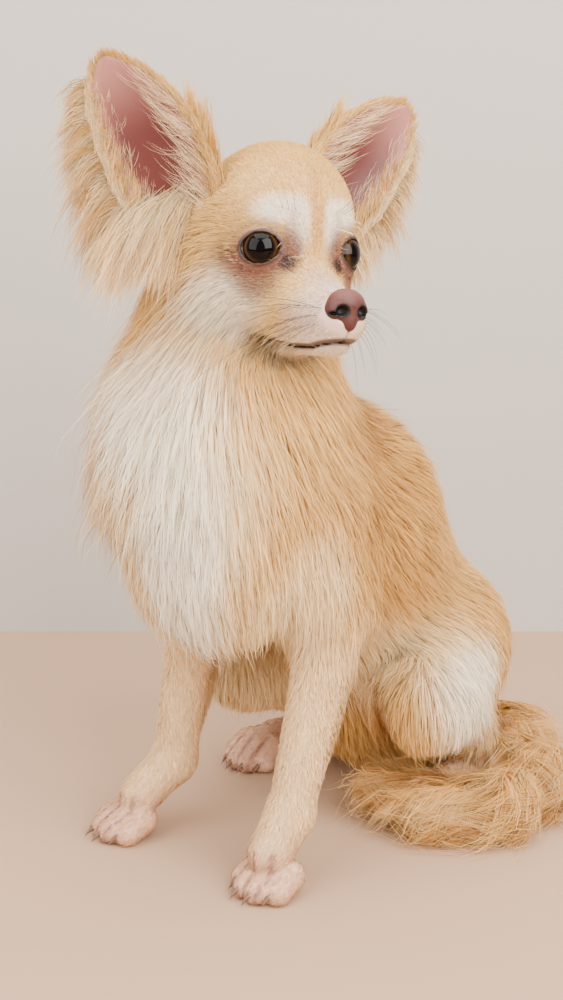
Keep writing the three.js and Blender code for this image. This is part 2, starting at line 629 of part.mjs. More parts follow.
// Cheeks and the long hair behind and under each ear
const cheeks = [];
for (const s of [1, -1])
  for (const [x, y, z, long, share] of [
    [32, 20, -4, 46, 0.8], [33, 2, -4, 40, 0.65], [30, -2, -14, 28, 0.5], [24, 26, -6, 34, 0.5],
  ]) {
    const middle = new THREE.Vector3(...headPoint(0, y * 0.5, z));
    const out = new THREE.Vector3(...headWay(x * s, y * 0.5, 0)).normalize();
    const root = leave(wholeBody, middle, out);
    cheeks.push(lock({
      root, out, way: wayOf(out, share + 0.25), fall: wayOf(out, share * 0.35), long: long + vary(3),
      wide: 14 + vary(2), thick: 4, lift: 7,
    }));
  }
fuse("head", cheeks, around(nodes.neck), placed(ear(1, GAP * 6)), placed(ear(-1, GAP * 6)));
const headCut = swollen(nodes.head, GAP * 3.5).add(around(nodes.head));

// Rows of the ruff: height up the neck, how many, the first one's angle, length and how far they stand out
const RUFF_ROWS = [[0.68, 8, 5, 52, 0.75], [0.24, 9, 14, 54, 0.3]];
const neckFoot = new THREE.Vector3(-3, -11, 176), neckTop = new THREE.Vector3(...headPoint(2, 14, -14));
const ruff = [];
for (const [height, count, turn, long, flare] of RUFF_ROWS)
  for (let i = 0; i < count; i++) {
    const angle = turn + (360 / count) * i + vary(5);
    const out = round(angle);
    const facing = Math.max(Math.cos(deg(angle - 50)), 0);
    const root = leave(wholeBody, neckFoot.clone().lerp(neckTop, height + vary(0.04)), out);
    ruff.push(lock({
      root, out, way: wayOf(out, 0.3 + flare * facing), fall: wayOf(out, 0.04 + flare * 0.25 * facing),
      long: long * (0.5 + 0.5 * facing) + vary(3), wide: 23 + vary(2), thick: 6, lift: 3.8 + 3 * facing,
    }));
  }
fuse("neck", ruff, headCut, around(nodes.torso), pockets.foreleg_left, pockets.foreleg_right);
const ruffCut = around(nodes.neck);

// Rows on the chest: height, first and last angle, how many and length. Locks of the back: y, z and side.
const CHEST_ROWS = [[136, -65, 90, 7, 34], [117, -40, 60, 3, 24]];
const BACK_LOCKS = [[52, 128, 0.6], [60, 120, -0.7], [74, 104, 0.2], [86, 90, 0.9], [86, 90, -0.9], [100, 70, 0]];
const chest = [];
for (const [z, first, last, count, long] of CHEST_ROWS)
  for (let i = 0; i < count; i++) {
    const out = round(first + ((last - first) * i) / (count - 1) + vary(4));
    const root = leave(wholeBody, new THREE.Vector3(0, -18, z), out);
    chest.push(lock({
      root, out, way: wayOf(out, 0.3), fall: wayOf(out, -0.1), long: long + vary(3), wide: 17 + vary(2), lift: 1.2,
    }));
  }
for (const [y, z, s] of BACK_LOCKS) {
  const out = new THREE.Vector3(s * 0.75, 0.8, 0.6).normalize();
  const root = leave(wholeBody, new THREE.Vector3(0, y - 18, z - 22), out);
  chest.push(lock({
    root, out, way: new THREE.Vector3(s * 0.3, 0.75, -0.5).normalize(),
    fall: new THREE.Vector3(0, 0.3, -1).normalize(), long: 30 + vary(3), wide: 19 + vary(2), lift: 1.2,
  }));
}
const legPockets = Object.values(pockets);
fuse("torso", chest, ruffCut, ...legPockets, swollen(wholeTail));

// Fringes along the rims of the ears: w is 1 at the outer rim and -1 at the inner
for (const [name, s] of [["left", 1], ["right", -1]]) {
  const fringe = [];
  for (const [t, w, long] of [
    [0.11, 0.92, 44], [0.25, 0.9, 34], [0.38, 0.9, 30], [0.57, 0.88, 24], [0.75, 0.84, 15], [0.3, -0.86, 15],
  ]) {
    const { point, up, across, out } = earFrame(s);
    const root = new THREE.Vector3(...headPoint(...point(t, -w, 0).toArray()));
    const side = across.clone().multiplyScalar(-Math.sign(w));
    const away = new THREE.Vector3(...headWay(...side.clone().addScaledVector(up, w > 0 ? 0.1 : 0.9).toArray()));
    const fall = w > 0 ? away.clone().multiplyScalar(0.5).addScaledVector(DOWN, 0.9).normalize() : away.clone();
    fringe.push(earLock(root, away.normalize(), fall, new THREE.Vector3(...headWay(...out.toArray())), long + vary(2)));
  }
  fuse(`ear_${name}`, fringe, headCut);
}

// The plume: locks along the tail, laid towards its tip
const plumes = { tail_base: [], tail_plume: [] };
const PLUME_LOCKS = 11;
const tailLine = new THREE.CatmullRomCurve3(TAIL.map(([x, y, z]) => new THREE.Vector3(x, y, z)));
for (let i = 0; i < PLUME_LOCKS; i++) {
  const t = 0.16 + (0.8 * i) / PLUME_LOCKS;
  const along = tailLine.getTangentAt(t), middle = tailLine.getPointAt(t);
  const sideways = new THREE.Vector3().crossVectors(along, new THREE.Vector3(0, 0, 1)).normalize();
  const angle = deg([20, 150, 80, 200, 50, 110, -15][i % 7] + vary(8));
  const out = sideways.clone().multiplyScalar(Math.cos(angle)).add(new THREE.Vector3(0, 0, Math.sin(angle)));
  const root = leave(tailForm, middle, out, 30);
  plumes[root.y > TAIL_TURN ? "tail_base" : "tail_plume"].push(lock({
    root, out, way: along.clone().addScaledVector(out, 0.35).normalize(), fall: along.clone().addScaledVector(out, -0.1 + vary(0.3)),
    long: 44 + vary(5), wide: 17 + vary(2), lift: 1.4, body: tailForm,
  }));
}
const nearTail = ["hindleg_left", "hindleg_right", "torso", "foreleg_left"].map((name) => around(nodes[name]));
fuse("tail_plume", plumes.tail_plume, ...nearTail, around(nodes.tail_base));
fuse("tail_base", plumes.tail_base, ...nearTail, around(nodes.tail_plume));

for (const name of Object.keys(nodes)) nodes[name] = largest(nodes[name].intersect(overFloor));

// The origin goes on the floor under the middle of the whole
const bounds = Object.values(nodes).map((solid) => solid.boundingBox());
const middle = [0, 1].map((k) =>
  (Math.min(...bounds.map(({ min }) => min[k])) + Math.max(...bounds.map(({ max }) => max[k]))) / 2);
for (const [name, solid] of Object.entries(nodes))
  dog.add(meshFrom(name, welded(solid, [-middle[0], -middle[1], 0]), materialOf(name)));
export default dog;
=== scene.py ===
import functools
import math

import bpy
import numpy as np
from mathutils import Matrix, Vector
from mathutils.kdtree import KDTree


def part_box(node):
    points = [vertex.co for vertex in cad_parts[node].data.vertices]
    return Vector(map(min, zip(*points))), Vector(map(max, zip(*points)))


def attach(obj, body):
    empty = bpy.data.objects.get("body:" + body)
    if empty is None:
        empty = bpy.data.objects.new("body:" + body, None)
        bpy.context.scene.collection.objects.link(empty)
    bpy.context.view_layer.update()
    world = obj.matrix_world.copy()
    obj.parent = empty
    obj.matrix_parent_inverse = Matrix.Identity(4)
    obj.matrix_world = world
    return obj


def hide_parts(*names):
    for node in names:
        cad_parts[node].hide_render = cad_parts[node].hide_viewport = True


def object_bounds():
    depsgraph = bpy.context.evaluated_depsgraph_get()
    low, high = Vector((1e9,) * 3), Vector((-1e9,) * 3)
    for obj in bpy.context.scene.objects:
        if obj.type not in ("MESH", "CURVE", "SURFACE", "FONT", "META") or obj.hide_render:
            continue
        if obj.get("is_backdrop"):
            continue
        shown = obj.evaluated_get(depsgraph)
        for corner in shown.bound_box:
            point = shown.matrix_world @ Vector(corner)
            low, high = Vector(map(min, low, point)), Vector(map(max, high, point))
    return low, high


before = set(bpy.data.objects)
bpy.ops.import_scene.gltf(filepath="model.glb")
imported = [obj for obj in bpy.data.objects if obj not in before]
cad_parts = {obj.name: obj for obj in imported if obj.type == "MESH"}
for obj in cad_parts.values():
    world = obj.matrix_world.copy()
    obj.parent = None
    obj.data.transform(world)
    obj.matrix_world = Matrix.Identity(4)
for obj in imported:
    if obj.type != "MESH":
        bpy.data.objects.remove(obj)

bl_info = {
    "name": "Long-coated chihuahua",
    "version": (1, 0, 0),
    "blender": (4, 5, 0),
    "location": "3D View > Sidebar > Chihuahua",
    "description": "Builds a sitting long-coated chihuahua at life size: skin, coat, eyes, nose and claws",
    "category": "Object",
}

# Lengths are in millimetres in the dog's own space, where -Y is its front and +X its left.
MM = 0.001
F = np.float32


def nose_shift():
    """Where the middle of the frame's nose lies, less where the dog's own space has it."""
    low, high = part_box("nose")
    return np.array([(low.x + high.x) / 2 / MM - 54.75, (low.y + high.y) / 2 / MM + 32.35, 0.0])


SHIFT = nose_shift()
# The solids' box in the dog's own space, and how far a hair may reach past it
BOX_LOW, BOX_HIGH = (np.array(corner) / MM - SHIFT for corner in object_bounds())
SPARE = 8

# Signed distances


def smin(a, b, k):
    h = np.maximum(k - np.abs(a - b), 0) / k
    return np.minimum(a, b) - h * h * k * 0.25


def smax(a, b, k):
    return -smin(-a, -b, k)


def unit(v):
    v = np.asarray(v, float)
    return v / np.maximum(np.linalg.norm(v, axis=-1, keepdims=True), 1e-9)


def ramp(x, a, b):
    """0 up to a and 1 from b on, smoothly between."""
    t = np.clip((x - a) / (b - a), 0, 1)
    return t * t * (3 - 2 * t)


def cone(p, a, b, ra, rb, flat=1.0, side=(1, 0, 0)):
    """Distance to a rounded cone from a to b, squeezed by flat along side."""
    s = unit(side)
    a, b = np.array(a, float), np.array(b, float)
    squeeze = 1 / flat - 1
    q = p - a
    q = q + np.outer(q @ s, s) * squeeze
    ba = b - a
    ba = ba + s * (ba @ s) * squeeze
    l2, rr = float(ba @ ba), ra - rb
    a2, il2 = max(l2 - rr * rr, 1e-6), 1 / l2
    y = q @ ba
    z = y - l2
    x2 = ((q * l2 - y[:, None] * ba) ** 2).sum(1)
    y2, z2 = y * y * l2, z * z * l2
    k = np.sign(rr) * rr * rr * x2
    d = (np.sqrt(x2 * a2 * il2) + y * rr) * il2 - ra
    d = np.where(np.sign(y) * a2 * y2 < k, np.sqrt(x2 + y2) * il2 - ra, d)
    return np.where(np.sign(z) * a2 * z2 > k, np.sqrt(x2 + z2) * il2 - rb, d)


def egg(p, centre, radii):
    """Distance to an ellipsoid."""
    q, r = p - np.array(centre, float), np.array(radii, float)
    k0 = np.linalg.norm(q / r, axis=1)
    k1 = np.linalg.norm(q / (r * r), axis=1)
    return k0 * (k0 - 1) / np.maximum(k1, 1e-9)


def melt(k, *parts):
    d = parts[0]
    for part in parts[1:]:
        d = smin(d, part, k)
    return d


# The head's own space: x to the dog's left, y to the back of the head, z up

HEAD_AT = np.array([3, -9, 252.0])
HEAD_TURN = (
    Matrix.Rotation(math.radians(68), 3, "Z")
    @ Matrix.Rotation(math.radians(-5), 3, "X")
    @ Matrix.Rotation(math.radians(5.5), 3, "Y")
)
HEAD_AXES = np.array(HEAD_TURN)


def from_head(q):
    return np.asarray(q, float) @ HEAD_AXES.T + HEAD_AT


def to_head(p):
    return (np.asarray(p, float) - HEAD_AT) @ HEAD_AXES


def head_way(v):
    return np.asarray(v, float) @ HEAD_AXES.T


EYE = np.array([16.3, -20.5, -2.5])
EYE_RADIUS = 8.8
GAZE = unit([0.6, -0.8, 0.02])
LEGS = {
    "fore_left": dict(
        shoulder=(24, -14, 148), elbow=(36, -12, 110), wrist=(34, -38, 29), toe=(31, -59, 0),
    ),
    "fore_right": dict(
        shoulder=(-24, -14, 148), elbow=(-34, -13, 110), wrist=(-40, -25, 29), toe=(-52, -56, 0),
    ),
    "hind_left": dict(hip=(27, 86, 66), knee=(46, 44, 55), hock=(43, 104, 11), toe=(44, 46, 0)),
    "hind_right": dict(hip=(-27, 86, 66), knee=(-45, 34, 57), hock=(-43, 104, 11), toe=(-52, 36, 0)),
}
TOES = [(-9.8, 5), (-3.4, 0), (3.4, 0), (9.8, 5)]
TAIL = np.array([
    (8, 118, 22, 13), (46, 122, 17, 13), (76, 92, 13, 14), (78, 56, 12, 13), (62, 36, 13, 12), (34, 32, 16, 9),
], float)

# Radii of the limbs at their joints, and of the paws with the places of their knuckles
FORE = dict(shoulder=20, elbow=13, forearm=11.6, wrist=8.4)
HIND = dict(hip=32, knee=21, shank=15, hock=8.6, heel=8.5, foot=7.8)
PAW = dict(heel=8.8, knuckle=5.8, tip=5.1, knuckle_back=9, knuckle_high=8.2, tip_high=4.2)
# How far the tail's flesh lies inside the radii of its plume
PLUME = 6

# Forms of the body: rounded cones from a to b, and eggs
CHEST = dict(a=(0, -22, 150), b=(0, 30, 136), ra=34, rb=41)
LOIN = dict(a=(0, 30, 136), b=(0, 82, 66), ra=41, rb=43, flat=0.95)
RUMP = dict(centre=(0, 91, 43), radii=(42, 39, 41))
BREAST = dict(centre=(-4, -36, 132), radii=(33, 24, 35))
THROAT = dict(a=(-7, -13, 182), b=from_head((-2, 14, -12)), ra=33, rb=27)
RUFF = dict(centre=(-8, -20, 175), radii=(37, 35, 33))
# Forms of the head, in its own space
CRANIUM = dict(centre=(0, 2, 4.5), radii=(30.5, 33.5, 33.5))
FOREHEAD = dict(centre=(0, -8, 13), radii=(23, 21.5, 23.5))
CHEEKS = dict(centre=(0, -6, -14), radii=(27, 23.5, 20))
MUZZLE = dict(a=(0, -26, -22), b=(0, -50, -28.5), ra=13.6, rb=9.2, flat=1.15)
JAW = dict(a=(0, -22, -31.5), b=(0, -46, -36.5), ra=9, rb=5, flat=1.25)
NOSE_ROOM = dict(centre=(0, -57.5, -24.8), radii=(6.4, 5.5, 4.6))
# The open eye: half its width, its heights over and under the line of its corners, and how round it is
LIDS = dict(half=7.4, over=5.6, under=5.9, round=1.8, tilt=0.06, scale=6.4)


def heel_of(name):
    leg = LEGS[name]
    if name.startswith("fore"):
        return np.array(leg["wrist"], float)
    return np.array(leg["toe"], float) + (0, 24, 6)


def toe_frame(name):
    """The longest toe's tip, and the ways ahead and across."""
    toe = np.array(LEGS[name]["toe"], float)
    ahead = toe - heel_of(name)
    ahead[2] = 0
    ahead = unit(ahead)
    return toe, ahead, np.array([ahead[1], -ahead[0], 0])


def paw(p, name):
    wrist = heel_of(name)
    toe, ahead, across = toe_frame(name)
    middle = wrist + (toe - wrist) * 0.52 + (0, 0, 2)
    parts = [cone(p, wrist, middle, PAW["heel"], PAW["heel"])]
    for out, back in TOES:
        tip = toe + across * out - ahead * (back + 0.2)
        knuckle = toe + across * out * 0.82 - ahead * (back + PAW["knuckle_back"])
        tip[2], knuckle[2] = PAW["tip_high"], PAW["knuckle_high"]
        parts.append(cone(p, knuckle, tip, PAW["knuckle"], PAW["tip"]))
    return melt(1.0, *parts)


def toe_gap(p):
    """1 in the grooves between the toes, where painted shade is laid, and 0 elsewhere."""
    gap = np.zeros(len(p))
    low = np.flatnonzero(p[:, 2] < 20)
    for name in LEGS:
        toe, ahead, across = toe_frame(name)
        side = (p[low] - toe) @ across
        before = (p[low] - toe) @ ahead
        near = (np.abs(side) < 16) & (before > -17) & (before < 10)
        off = np.min([np.abs(side - (TOES[i][0] + TOES[i + 1][0]) / 2) for i in range(3)], axis=0)
        gap[low] = np.maximum(gap[low], near * (1 - ramp(off, 0.3, 1.3)) * ramp(before, -16, -8))
    return gap


def leg(p, name):
    k = LEGS[name]
    if name.startswith("fore"):
        return melt(
            5,
            cone(p, k["shoulder"], k["elbow"], FORE["shoulder"], FORE["elbow"]),
            cone(p, k["elbow"], k["wrist"], FORE["forearm"], FORE["wrist"]),
            paw(p, name),
        )
    foot = np.array(k["toe"], float) + (0, 18, 7)
    return melt(
        7,
        cone(p, k["hip"], k["knee"], HIND["hip"], HIND["knee"], 0.8),
        cone(p, k["knee"], k["hock"], HIND["shank"], HIND["hock"]),
        cone(p, k["hock"], foot, HIND["heel"], HIND["foot"]),
        paw(p, name),
    )


def trunk(p):
    return melt(20, cone(p, **CHEST), cone(p, **LOIN), egg(p, **RUMP), egg(p, **BREAST))


def neck(p):
    return melt(16, cone(p, **THROAT), egg(p, **RUFF))


def tail(p):
    parts = [
        cone(p, a[:3], b[:3], a[3] - PLUME, b[3] - PLUME)
        for a, b in zip(TAIL[:-1], TAIL[1:])
    ]
    return melt(6, *parts)


def skull(q):
    """The head in its own space, without its lids, nostrils and mouth."""
    dome = melt(11, egg(q, **CRANIUM), egg(q, **FOREHEAD), egg(q, **CHEEKS))
    return melt(7, dome, cone(q, **MUZZLE), cone(q, **JAW))


def mirrored(q):
    return np.column_stack([np.abs(q[:, 0]), q[:, 1], q[:, 2]])


EYE_SIDE = unit(np.cross([0, 0, 1], GAZE))
EYE_UP = np.cross(GAZE, EYE_SIDE)


def eye_place(q):
    """Across, up and ahead of the eye, in the eye's own space, for both sides at once."""
    r = mirrored(q) - EYE
    return r @ EYE_SIDE, r @ EYE_UP, r @ GAZE


def lid_ring(across, up):
    """Distance from the lids' edge, an almond with soft corners; below 0 is the open eye."""
    high = np.where(up > 0, LIDS["over"], LIDS["under"])
    power = LIDS["round"]
    k = (np.abs(across) / LIDS["half"]) ** power + (np.abs(up + LIDS["tilt"] * across) / high) ** power
    return (k ** (1 / power) - 1) * LIDS["scale"]


def muzzle_line(q):
    """Height of the mouth line at each point, lowest in the middle and turned up at its corner."""
    return -38.4 + 0.19 * np.maximum(-q[:, 1] - 44, 0) + 0.123 * np.maximum(q[:, 1] + 30, 0) ** 1.4


def face(q):
    """The head's skin with lids, nose root and mouth."""
    d = skull(q)
    across, up, ahead = eye_place(q)
    ring = lid_ring(across, up)
    # the hollow of each eye, then the lids as a thin shell over the eyeball, joined to the face round it
    away = mirrored(q) - EYE
    ball = np.linalg.norm(away, axis=1)
    d = smax(d, 8.6 - np.linalg.norm(away - (3.8, -5.8, 0), axis=1), 3)
    shell = smax(np.abs(ball - EYE_RADIUS - 0.6) - 0.6, -ring, 0.5)
    shell = smax(shell, ring - 4.2, 2.5)
    shell = np.where(ahead > 0, shell, 9.0)
    d = smin(d, shell, 2.6)
    d = smax(d, EYE_RADIUS + 0.05 - ball, 0.3)
    d = smax(d, -egg(q, **NOSE_ROOM), 0.8)
    d = smax(d, -np.where(ahead > 2, smax(ring, 3 - ahead, 0.5), 9.0), 0.4)
    # mouth line and the cleft under the nose
    gap = np.abs(q[:, 2] - muzzle_line(q)) - 0.3
    lips = np.maximum(np.maximum(gap, q[:, 1] + 14), -d - 2.6)
    d = smax(d, -lips, 1.0)
    cleft = np.maximum(np.abs(q[:, 0]) - 0.35, np.maximum(q[:, 2] + 30, muzzle_line(q) - q[:, 2]))
    return smax(d, -np.maximum(cleft, np.maximum(q[:, 1] + 50, -d - 1.2)), 0.7)


def body(p, with_face=True):
    """The whole skin in the dog's space."""
    q = to_head(p)
    d = smin(smin(trunk(p), neck(p), 16), face(q) if with_face else skull(q), 5)
    for name in LEGS:
        d = smin(d, leg(p, name), 10)
    d = smin(d, tail(p), 6)
    return smax(d, -p[:, 2] + 0.3, 0.6)


def slope(f, p, step=0.5):
    """The unit gradient of f at each point."""
    e = np.eye(3) * step
    return unit(np.stack([f(p + e[i]) - f(p - e[i]) for i in range(3)], 1))


def surface_net(f, low, high, h, block=8):
    """The zero surface of f as vertices and quads, evaluated only in blocks near it."""
    low = np.array(low, float)
    n = np.ceil((np.array(high) - low) / h / block).astype(int) * block
    nb = n // block
    cells = np.stack(np.meshgrid(*[np.arange(k) for k in nb], indexing="ij"), -1).reshape(-1, 3)
    d = f((cells * block + block / 2) * h + low)
    near = cells[np.abs(d) < block * h * 1.5]
    value = np.full(tuple(n + 1), 1e3, F)
    known = np.zeros(tuple(n + 1), bool)
    corner = np.stack(np.meshgrid(*[np.arange(block + 1)] * 3, indexing="ij"), -1).reshape(-1, 3)
    for i in range(0, len(near), 256):
        index = (near[i : i + 256, None, :] * block + corner[None]).reshape(-1, 3)
        flat = np.unique(np.ravel_multi_index(index.T, value.shape))
        flat = flat[~known.ravel()[flat]]
        if len(flat):
            at = np.stack(np.unravel_index(flat, value.shape), -1)
            value.ravel()[flat] = f(at * h + low)
            known.ravel()[flat] = True
    coarse = d.reshape(nb)
    for axis in range(3):
        coarse = np.repeat(coarse, block, axis)
    far = np.full(tuple(n + 1), 1e3, F)
    far[:-1, :-1, :-1] = coarse
    value = np.where(known, value, far)
    inside = value < 0

    def at_corner(i, j, k):
        return inside[i : n[0] + i, j : n[1] + j, k : n[2] + k]

    corners = [(i, j, k) for i in (0, 1) for j in (0, 1) for k in (0, 1)]
    count = sum(at_corner(*c).astype(np.int8) for c in corners)
    active = (count > 0) & (count < 8)
    cell = np.argwhere(active)
    number = np.full(active.shape, -1, np.int64)
    number[active] = np.arange(len(cell))
    v = np.stack([value[cell[:, 0] + i, cell[:, 1] + j, cell[:, 2] + k] for i, j, k in corners], 1)
    total, found = np.zeros((len(cell), 3)), np.zeros(len(cell))
    for x in range(8):
        for y in range(x + 1, 8):
            a, b = np.array(corners[x]), np.array(corners[y])
            if np.abs(a - b).sum() != 1:
                continue
            crossed = (v[:, x] < 0) != (v[:, y] < 0)
            t = np.where(crossed, v[:, x] / np.where(crossed, v[:, x] - v[:, y], 1), 0)
            total += np.where(crossed[:, None], a + (b - a) * t[:, None], 0)
            found += crossed
    verts = (cell + total / found[:, None]) * h + low
    quads = []
    for axis, (u, w) in enumerate([(1, 2), (2, 0), (0, 1)]):
        here, there = [slice(None)] * 3, [slice(None)] * 3
        here[axis], there[axis] = slice(0, -1), slice(1, None)
        a, b = inside[tuple(here)], inside[tuple(there)]
        e = np.argwhere(a != b)
        e = e[(e[:, u] > 0) & (e[:, w] > 0) & (e[:, u] < n[u]) & (e[:, w] < n[w])]
        out = a[e[:, 0], e[:, 1], e[:, 2]]

        def cell_at(du, dw):
            q = e.copy()
            q[:, u] -= du
            q[:, w] -= dw
            return number[q[:, 0], q[:, 1], q[:, 2]]

        quad = np.stack([cell_at(1, 1), cell_at(0, 1), cell_at(0, 0), cell_at(1, 0)], 1)
        quads.append(np.where(out[:, None], quad, quad[:, ::-1]))
    return verts, np.concatenate(quads)


# Ears: t runs from root to tip and w from rim to rim

EAR = dict(long=61.5, half=21.5, thick=2.0, cup=10, sweep=10.5)
# Each ear's root, the way it points and the way its hollow faces, for the left and the right one
EARS = {
    1: ((30, 13.5, 16), (0.52, 0.01, 0.85), (0.11, -0.99, -0.05)),
    -1: ((-36, 12, 13.5), (-0.37, 0.02, 0.93), (-0.66, -0.71, -0.25)),
}


def ear_ways(s):
    """An ear's ways up, out of its hollow, and across towards the crown, in the head's space."""
    up, out = unit(EARS[s][1]), np.array(EARS[s][2])
    out = unit(out - up * (out @ up))
    return up, out, np.cross(up, out) * -s


def ear_point(s, t, w, n):
    """Points on an ear in the head's space."""
    up, out, across = ear_ways(s)
    c = np.clip((t - 0.22) / 0.78, 0, 1)
    half = EAR["half"] * (1 - c**2.6) ** 0.7 * (1 - 0.5 * np.maximum(0.22 - t, 0))
    cup = EAR["cup"] * (1 - 0.6 * np.clip(t, 0, 1)) * half / EAR["half"]
    return (
        np.array(EARS[s][0])
        + np.multiply.outer(t * EAR["long"], up)
        + np.multiply.outer(w * half - EAR["sweep"] * t * t, across)
        + np.multiply.outer(cup * (w * w - 0.3) + n, out)
    )


# Colours are sRGB hex


def rgb(code):
    """Linear red, green and blue of an sRGB hex code."""
    parts = np.array([int(code[i : i + 2], 16) for i in (0, 2, 4)]) / 255
    return np.where(parts <= 0.04045, parts / 12.92, ((parts + 0.055) / 1.055) ** 2.4)


FAWN = rgb("DAA552")
GOLD = rgb("CB9240")
LIGHT_FAWN = rgb("EEC578")
CREAM = rgb("F9E0AE")
WHITE = rgb("FFF5E0")
PALE_LEG = rgb("F8D8A4")
PAW_PINK = rgb("DBAA88")
PINK_SKIN = rgb("D9A898")
DARK_LINE = rgb("38221C")
EYE_SHADE = rgb("84513C")
# pink skin between the toes, darkened as painted shade in the grooves
PAW_GAP_PINK_AND_SHADE = rgb("9C6858")
# pink belly skin, darkened as painted shade for the hollow between the left foreleg and the left knee
BELLY_PINK_AND_SHADE = rgb("B07A66")
MUZZLE_TOP = rgb("DDBBA2")
MUZZLE_SIDE = rgb("E8D0C2")
TEAR_SPOT = rgb("3A221B")
LID_SKIN = rgb("7A4C3F")
EAR_PINK = rgb("B5766A")
# deep red of the inner ear, darkened as painted shade in the hollow
EAR_DEEP_RED_AND_SHADE = rgb("5C1F1A")
EAR_DOWN = rgb("D9A184")
LEATHER = rgb("4E2723")
# painted highlight for the lit top of the nose leather
LEATHER_HIGHLIGHT = rgb("74433C")
# near black painted shade for the nostril holes
NOSTRIL_SHADE = rgb("080403")
WHISKER = rgb("3B2C24")


def mix(a, b, share):
    """From a, at a share of 0, to b, at a share of 1."""
    return a + (b - a) * share


# The regions of the body, in the order of the columns of shares
HEAD, NECK, TRUNK, FORE_L, FORE_R, HIND_L, HIND_R, TAIL_ = range(8)


def shares(p, soft=5.0):
    """How much each point belongs to each region, as rows that add up to one."""
    parts = [skull(to_head(p)), neck(p) + 1, trunk(p), *[leg(p, name) for name in LEGS], tail(p) - 1]
    d = np.stack(parts, 1)
    w = np.exp(-(d - d.min(1, keepdims=True)) / soft)
    return w / w.sum(1, keepdims=True)


def spot(p, centre, radii, edge=0.35):
    """1 inside an ellipsoid and 0 outside, with a soft edge."""
    k = np.linalg.norm((p - np.array(centre, float)) / np.array(radii, float), axis=1)
    return 1 - ramp(k, 1 - edge, 1 + edge)


# Patches of colour on the body: middle, half sizes, colour and strength
BODY_PATCHES = [
    ((0, 40, 175), (60, 70, 36), GOLD, 0.6),
    ((46, 12, 140), (22, 30, 40), GOLD, 0.45),
    ((-46, 0, 160), (26, 40, 50), GOLD, 0.5),
    ((0, 112, 90), (40, 22, 44), FAWN, 0.5),
    ((-2, -54, 162), (25, 28, 50), CREAM, 0.85),
    ((-12, -44, 206), (17, 22, 28), WHITE, 0.85),
    ((2, -62, 150), (14, 24, 52), WHITE, 0.95),
    ((38, -34, 132), (13, 18, 24), CREAM, 0.8),
    ((24, -34, 116), (16, 24, 30), CREAM, 0.8),
    ((-30, -34, 108), (18, 24, 26), CREAM, 0.7),
    ((0, 20, 84), (46, 70, 26), CREAM, 0.85),
    ((-42, 32, 58), (26, 34, 44), CREAM, 0.75),
    # painted highlight: white laid on the round of the left thigh, where the light falls brightest
    ((62, 58, 66), (20, 28, 28), WHITE, 0.85),
    # painted shade over the pink belly, in the hollow between the left foreleg and the left knee
    ((24, 14, 46), (20, 20, 28), BELLY_PINK_AND_SHADE, 0.9),
    ((-44, -46, 172), (20, 26, 62), GOLD, 0.85),
    ((-32, -12, 206), (16, 20, 28), FAWN, 0.85),
]
# The same on the head, in its own space, for both sides
FACE_PATCHES = [
    ((0, -12, 36), (20, 26, 22), FAWN, 0.7),
    ((17, 6, 30), (14, 22, 16), FAWN, 0.45),
    ((26, -12, 6), (9, 14, 10), GOLD, 0.35),
    ((23, -8, -22), (16, 17, 13), WHITE, 0.85),
    ((22, 14, -24), (16, 11, 18), FAWN, 0.8),
    ((13, -27, 11.5), (9, 10, 5.5), WHITE, 0.9),
    ((7, -33, 6), (4, 8, 10), WHITE, 0.85),
    ((0, -32, 16), (2.6, 14, 18), FAWN, 0.7),
    ((20, -25, -13), (10, 9, 8), EYE_SHADE, 0.8),
    ((27, -17, -6), (6, 7, 7), EYE_SHADE, 0.45),
    ((9.5, -31, -4), (4.5, 6, 8), EYE_SHADE, 0.85),
    ((9.5, -30.5, 7), (2.4, 5, 5), EYE_SHADE, 0.25),
    ((0, -44, -14), (8, 12, 7), MUZZLE_TOP, 0.85),
    ((0, -48, -28), (17, 16, 12), MUZZLE_SIDE, 0.9),
    ((0, -40, -44), (22, 26, 12), WHITE, 0.75),
]


def markings(p, w=None):
    """Colour of the coat at each point of the dog's space, with painted shade between the toes and on the belly
    and a painted highlight on the left thigh.
    """
    w = shares(p) if w is None else w
    q = mirrored(to_head(p))
    colour = np.tile(FAWN * 0.6 + LIGHT_FAWN * 0.4, (len(p), 1))

    def lay(tone, amount):
        nonlocal colour
        colour = mix(colour, tone, np.clip(amount, 0, 1)[:, None])

    for centre, radii, tone, strength in BODY_PATCHES:
        lay(tone, spot(p, centre, radii) * strength * (1 - w[:, HEAD]))
    fore, hind = w[:, FORE_L] + w[:, FORE_R], w[:, HIND_L] + w[:, HIND_R]
    lay(PALE_LEG, fore * (1 - ramp(p[:, 2], 96, 128)) * 0.9)
    lay(PALE_LEG, hind * (1 - ramp(p[:, 2], 26, 52)) * 0.85)
    lay(PAW_PINK, (fore + hind) * (1 - ramp(p[:, 2], 9, 30)) * 0.75)
    lay(FAWN, w[:, TAIL_] * 0.8)
    on_head = ramp(w[:, HEAD], 0.3, 0.8)
    lay(LIGHT_FAWN, on_head * 0.75)
    for centre, radii, tone, strength in FACE_PATCHES:
        lay(tone, spot(q, centre, radii, 0.5) * strength * on_head)
    across, up, ahead = eye_place(to_head(p))
    rim = lid_ring(across, up)
    under = 0.35 + 0.65 * ramp(-up, -3, 5)
    lay(EYE_SHADE, on_head * (1 - ramp(rim, 2.5, 8.5)) * (ahead > -2) * under)
    # painted shade in the grooves between the toes
    lay(PAW_GAP_PINK_AND_SHADE, (fore + hind) * toe_gap(p) * 0.8)
    near_line = np.abs(q[:, 2] - muzzle_line(q))
    beside = (q[:, 1] < -12.5) & (q[:, 0] > 3)
    lay(DARK_LINE, on_head * (1 - ramp(near_line, 0.4, 1.5)) * beside * 0.2)
    lay(TEAR_SPOT, on_head * spot(q, (10.6, -31, -8.0), (3.0, 4.5, 3.0), 0.5))
    return colour


# The skin


def jaw_seam(q):
    """Height under the head where its finer mesh takes over from the body's."""
    return -30 + q[:, 1] * 0.35


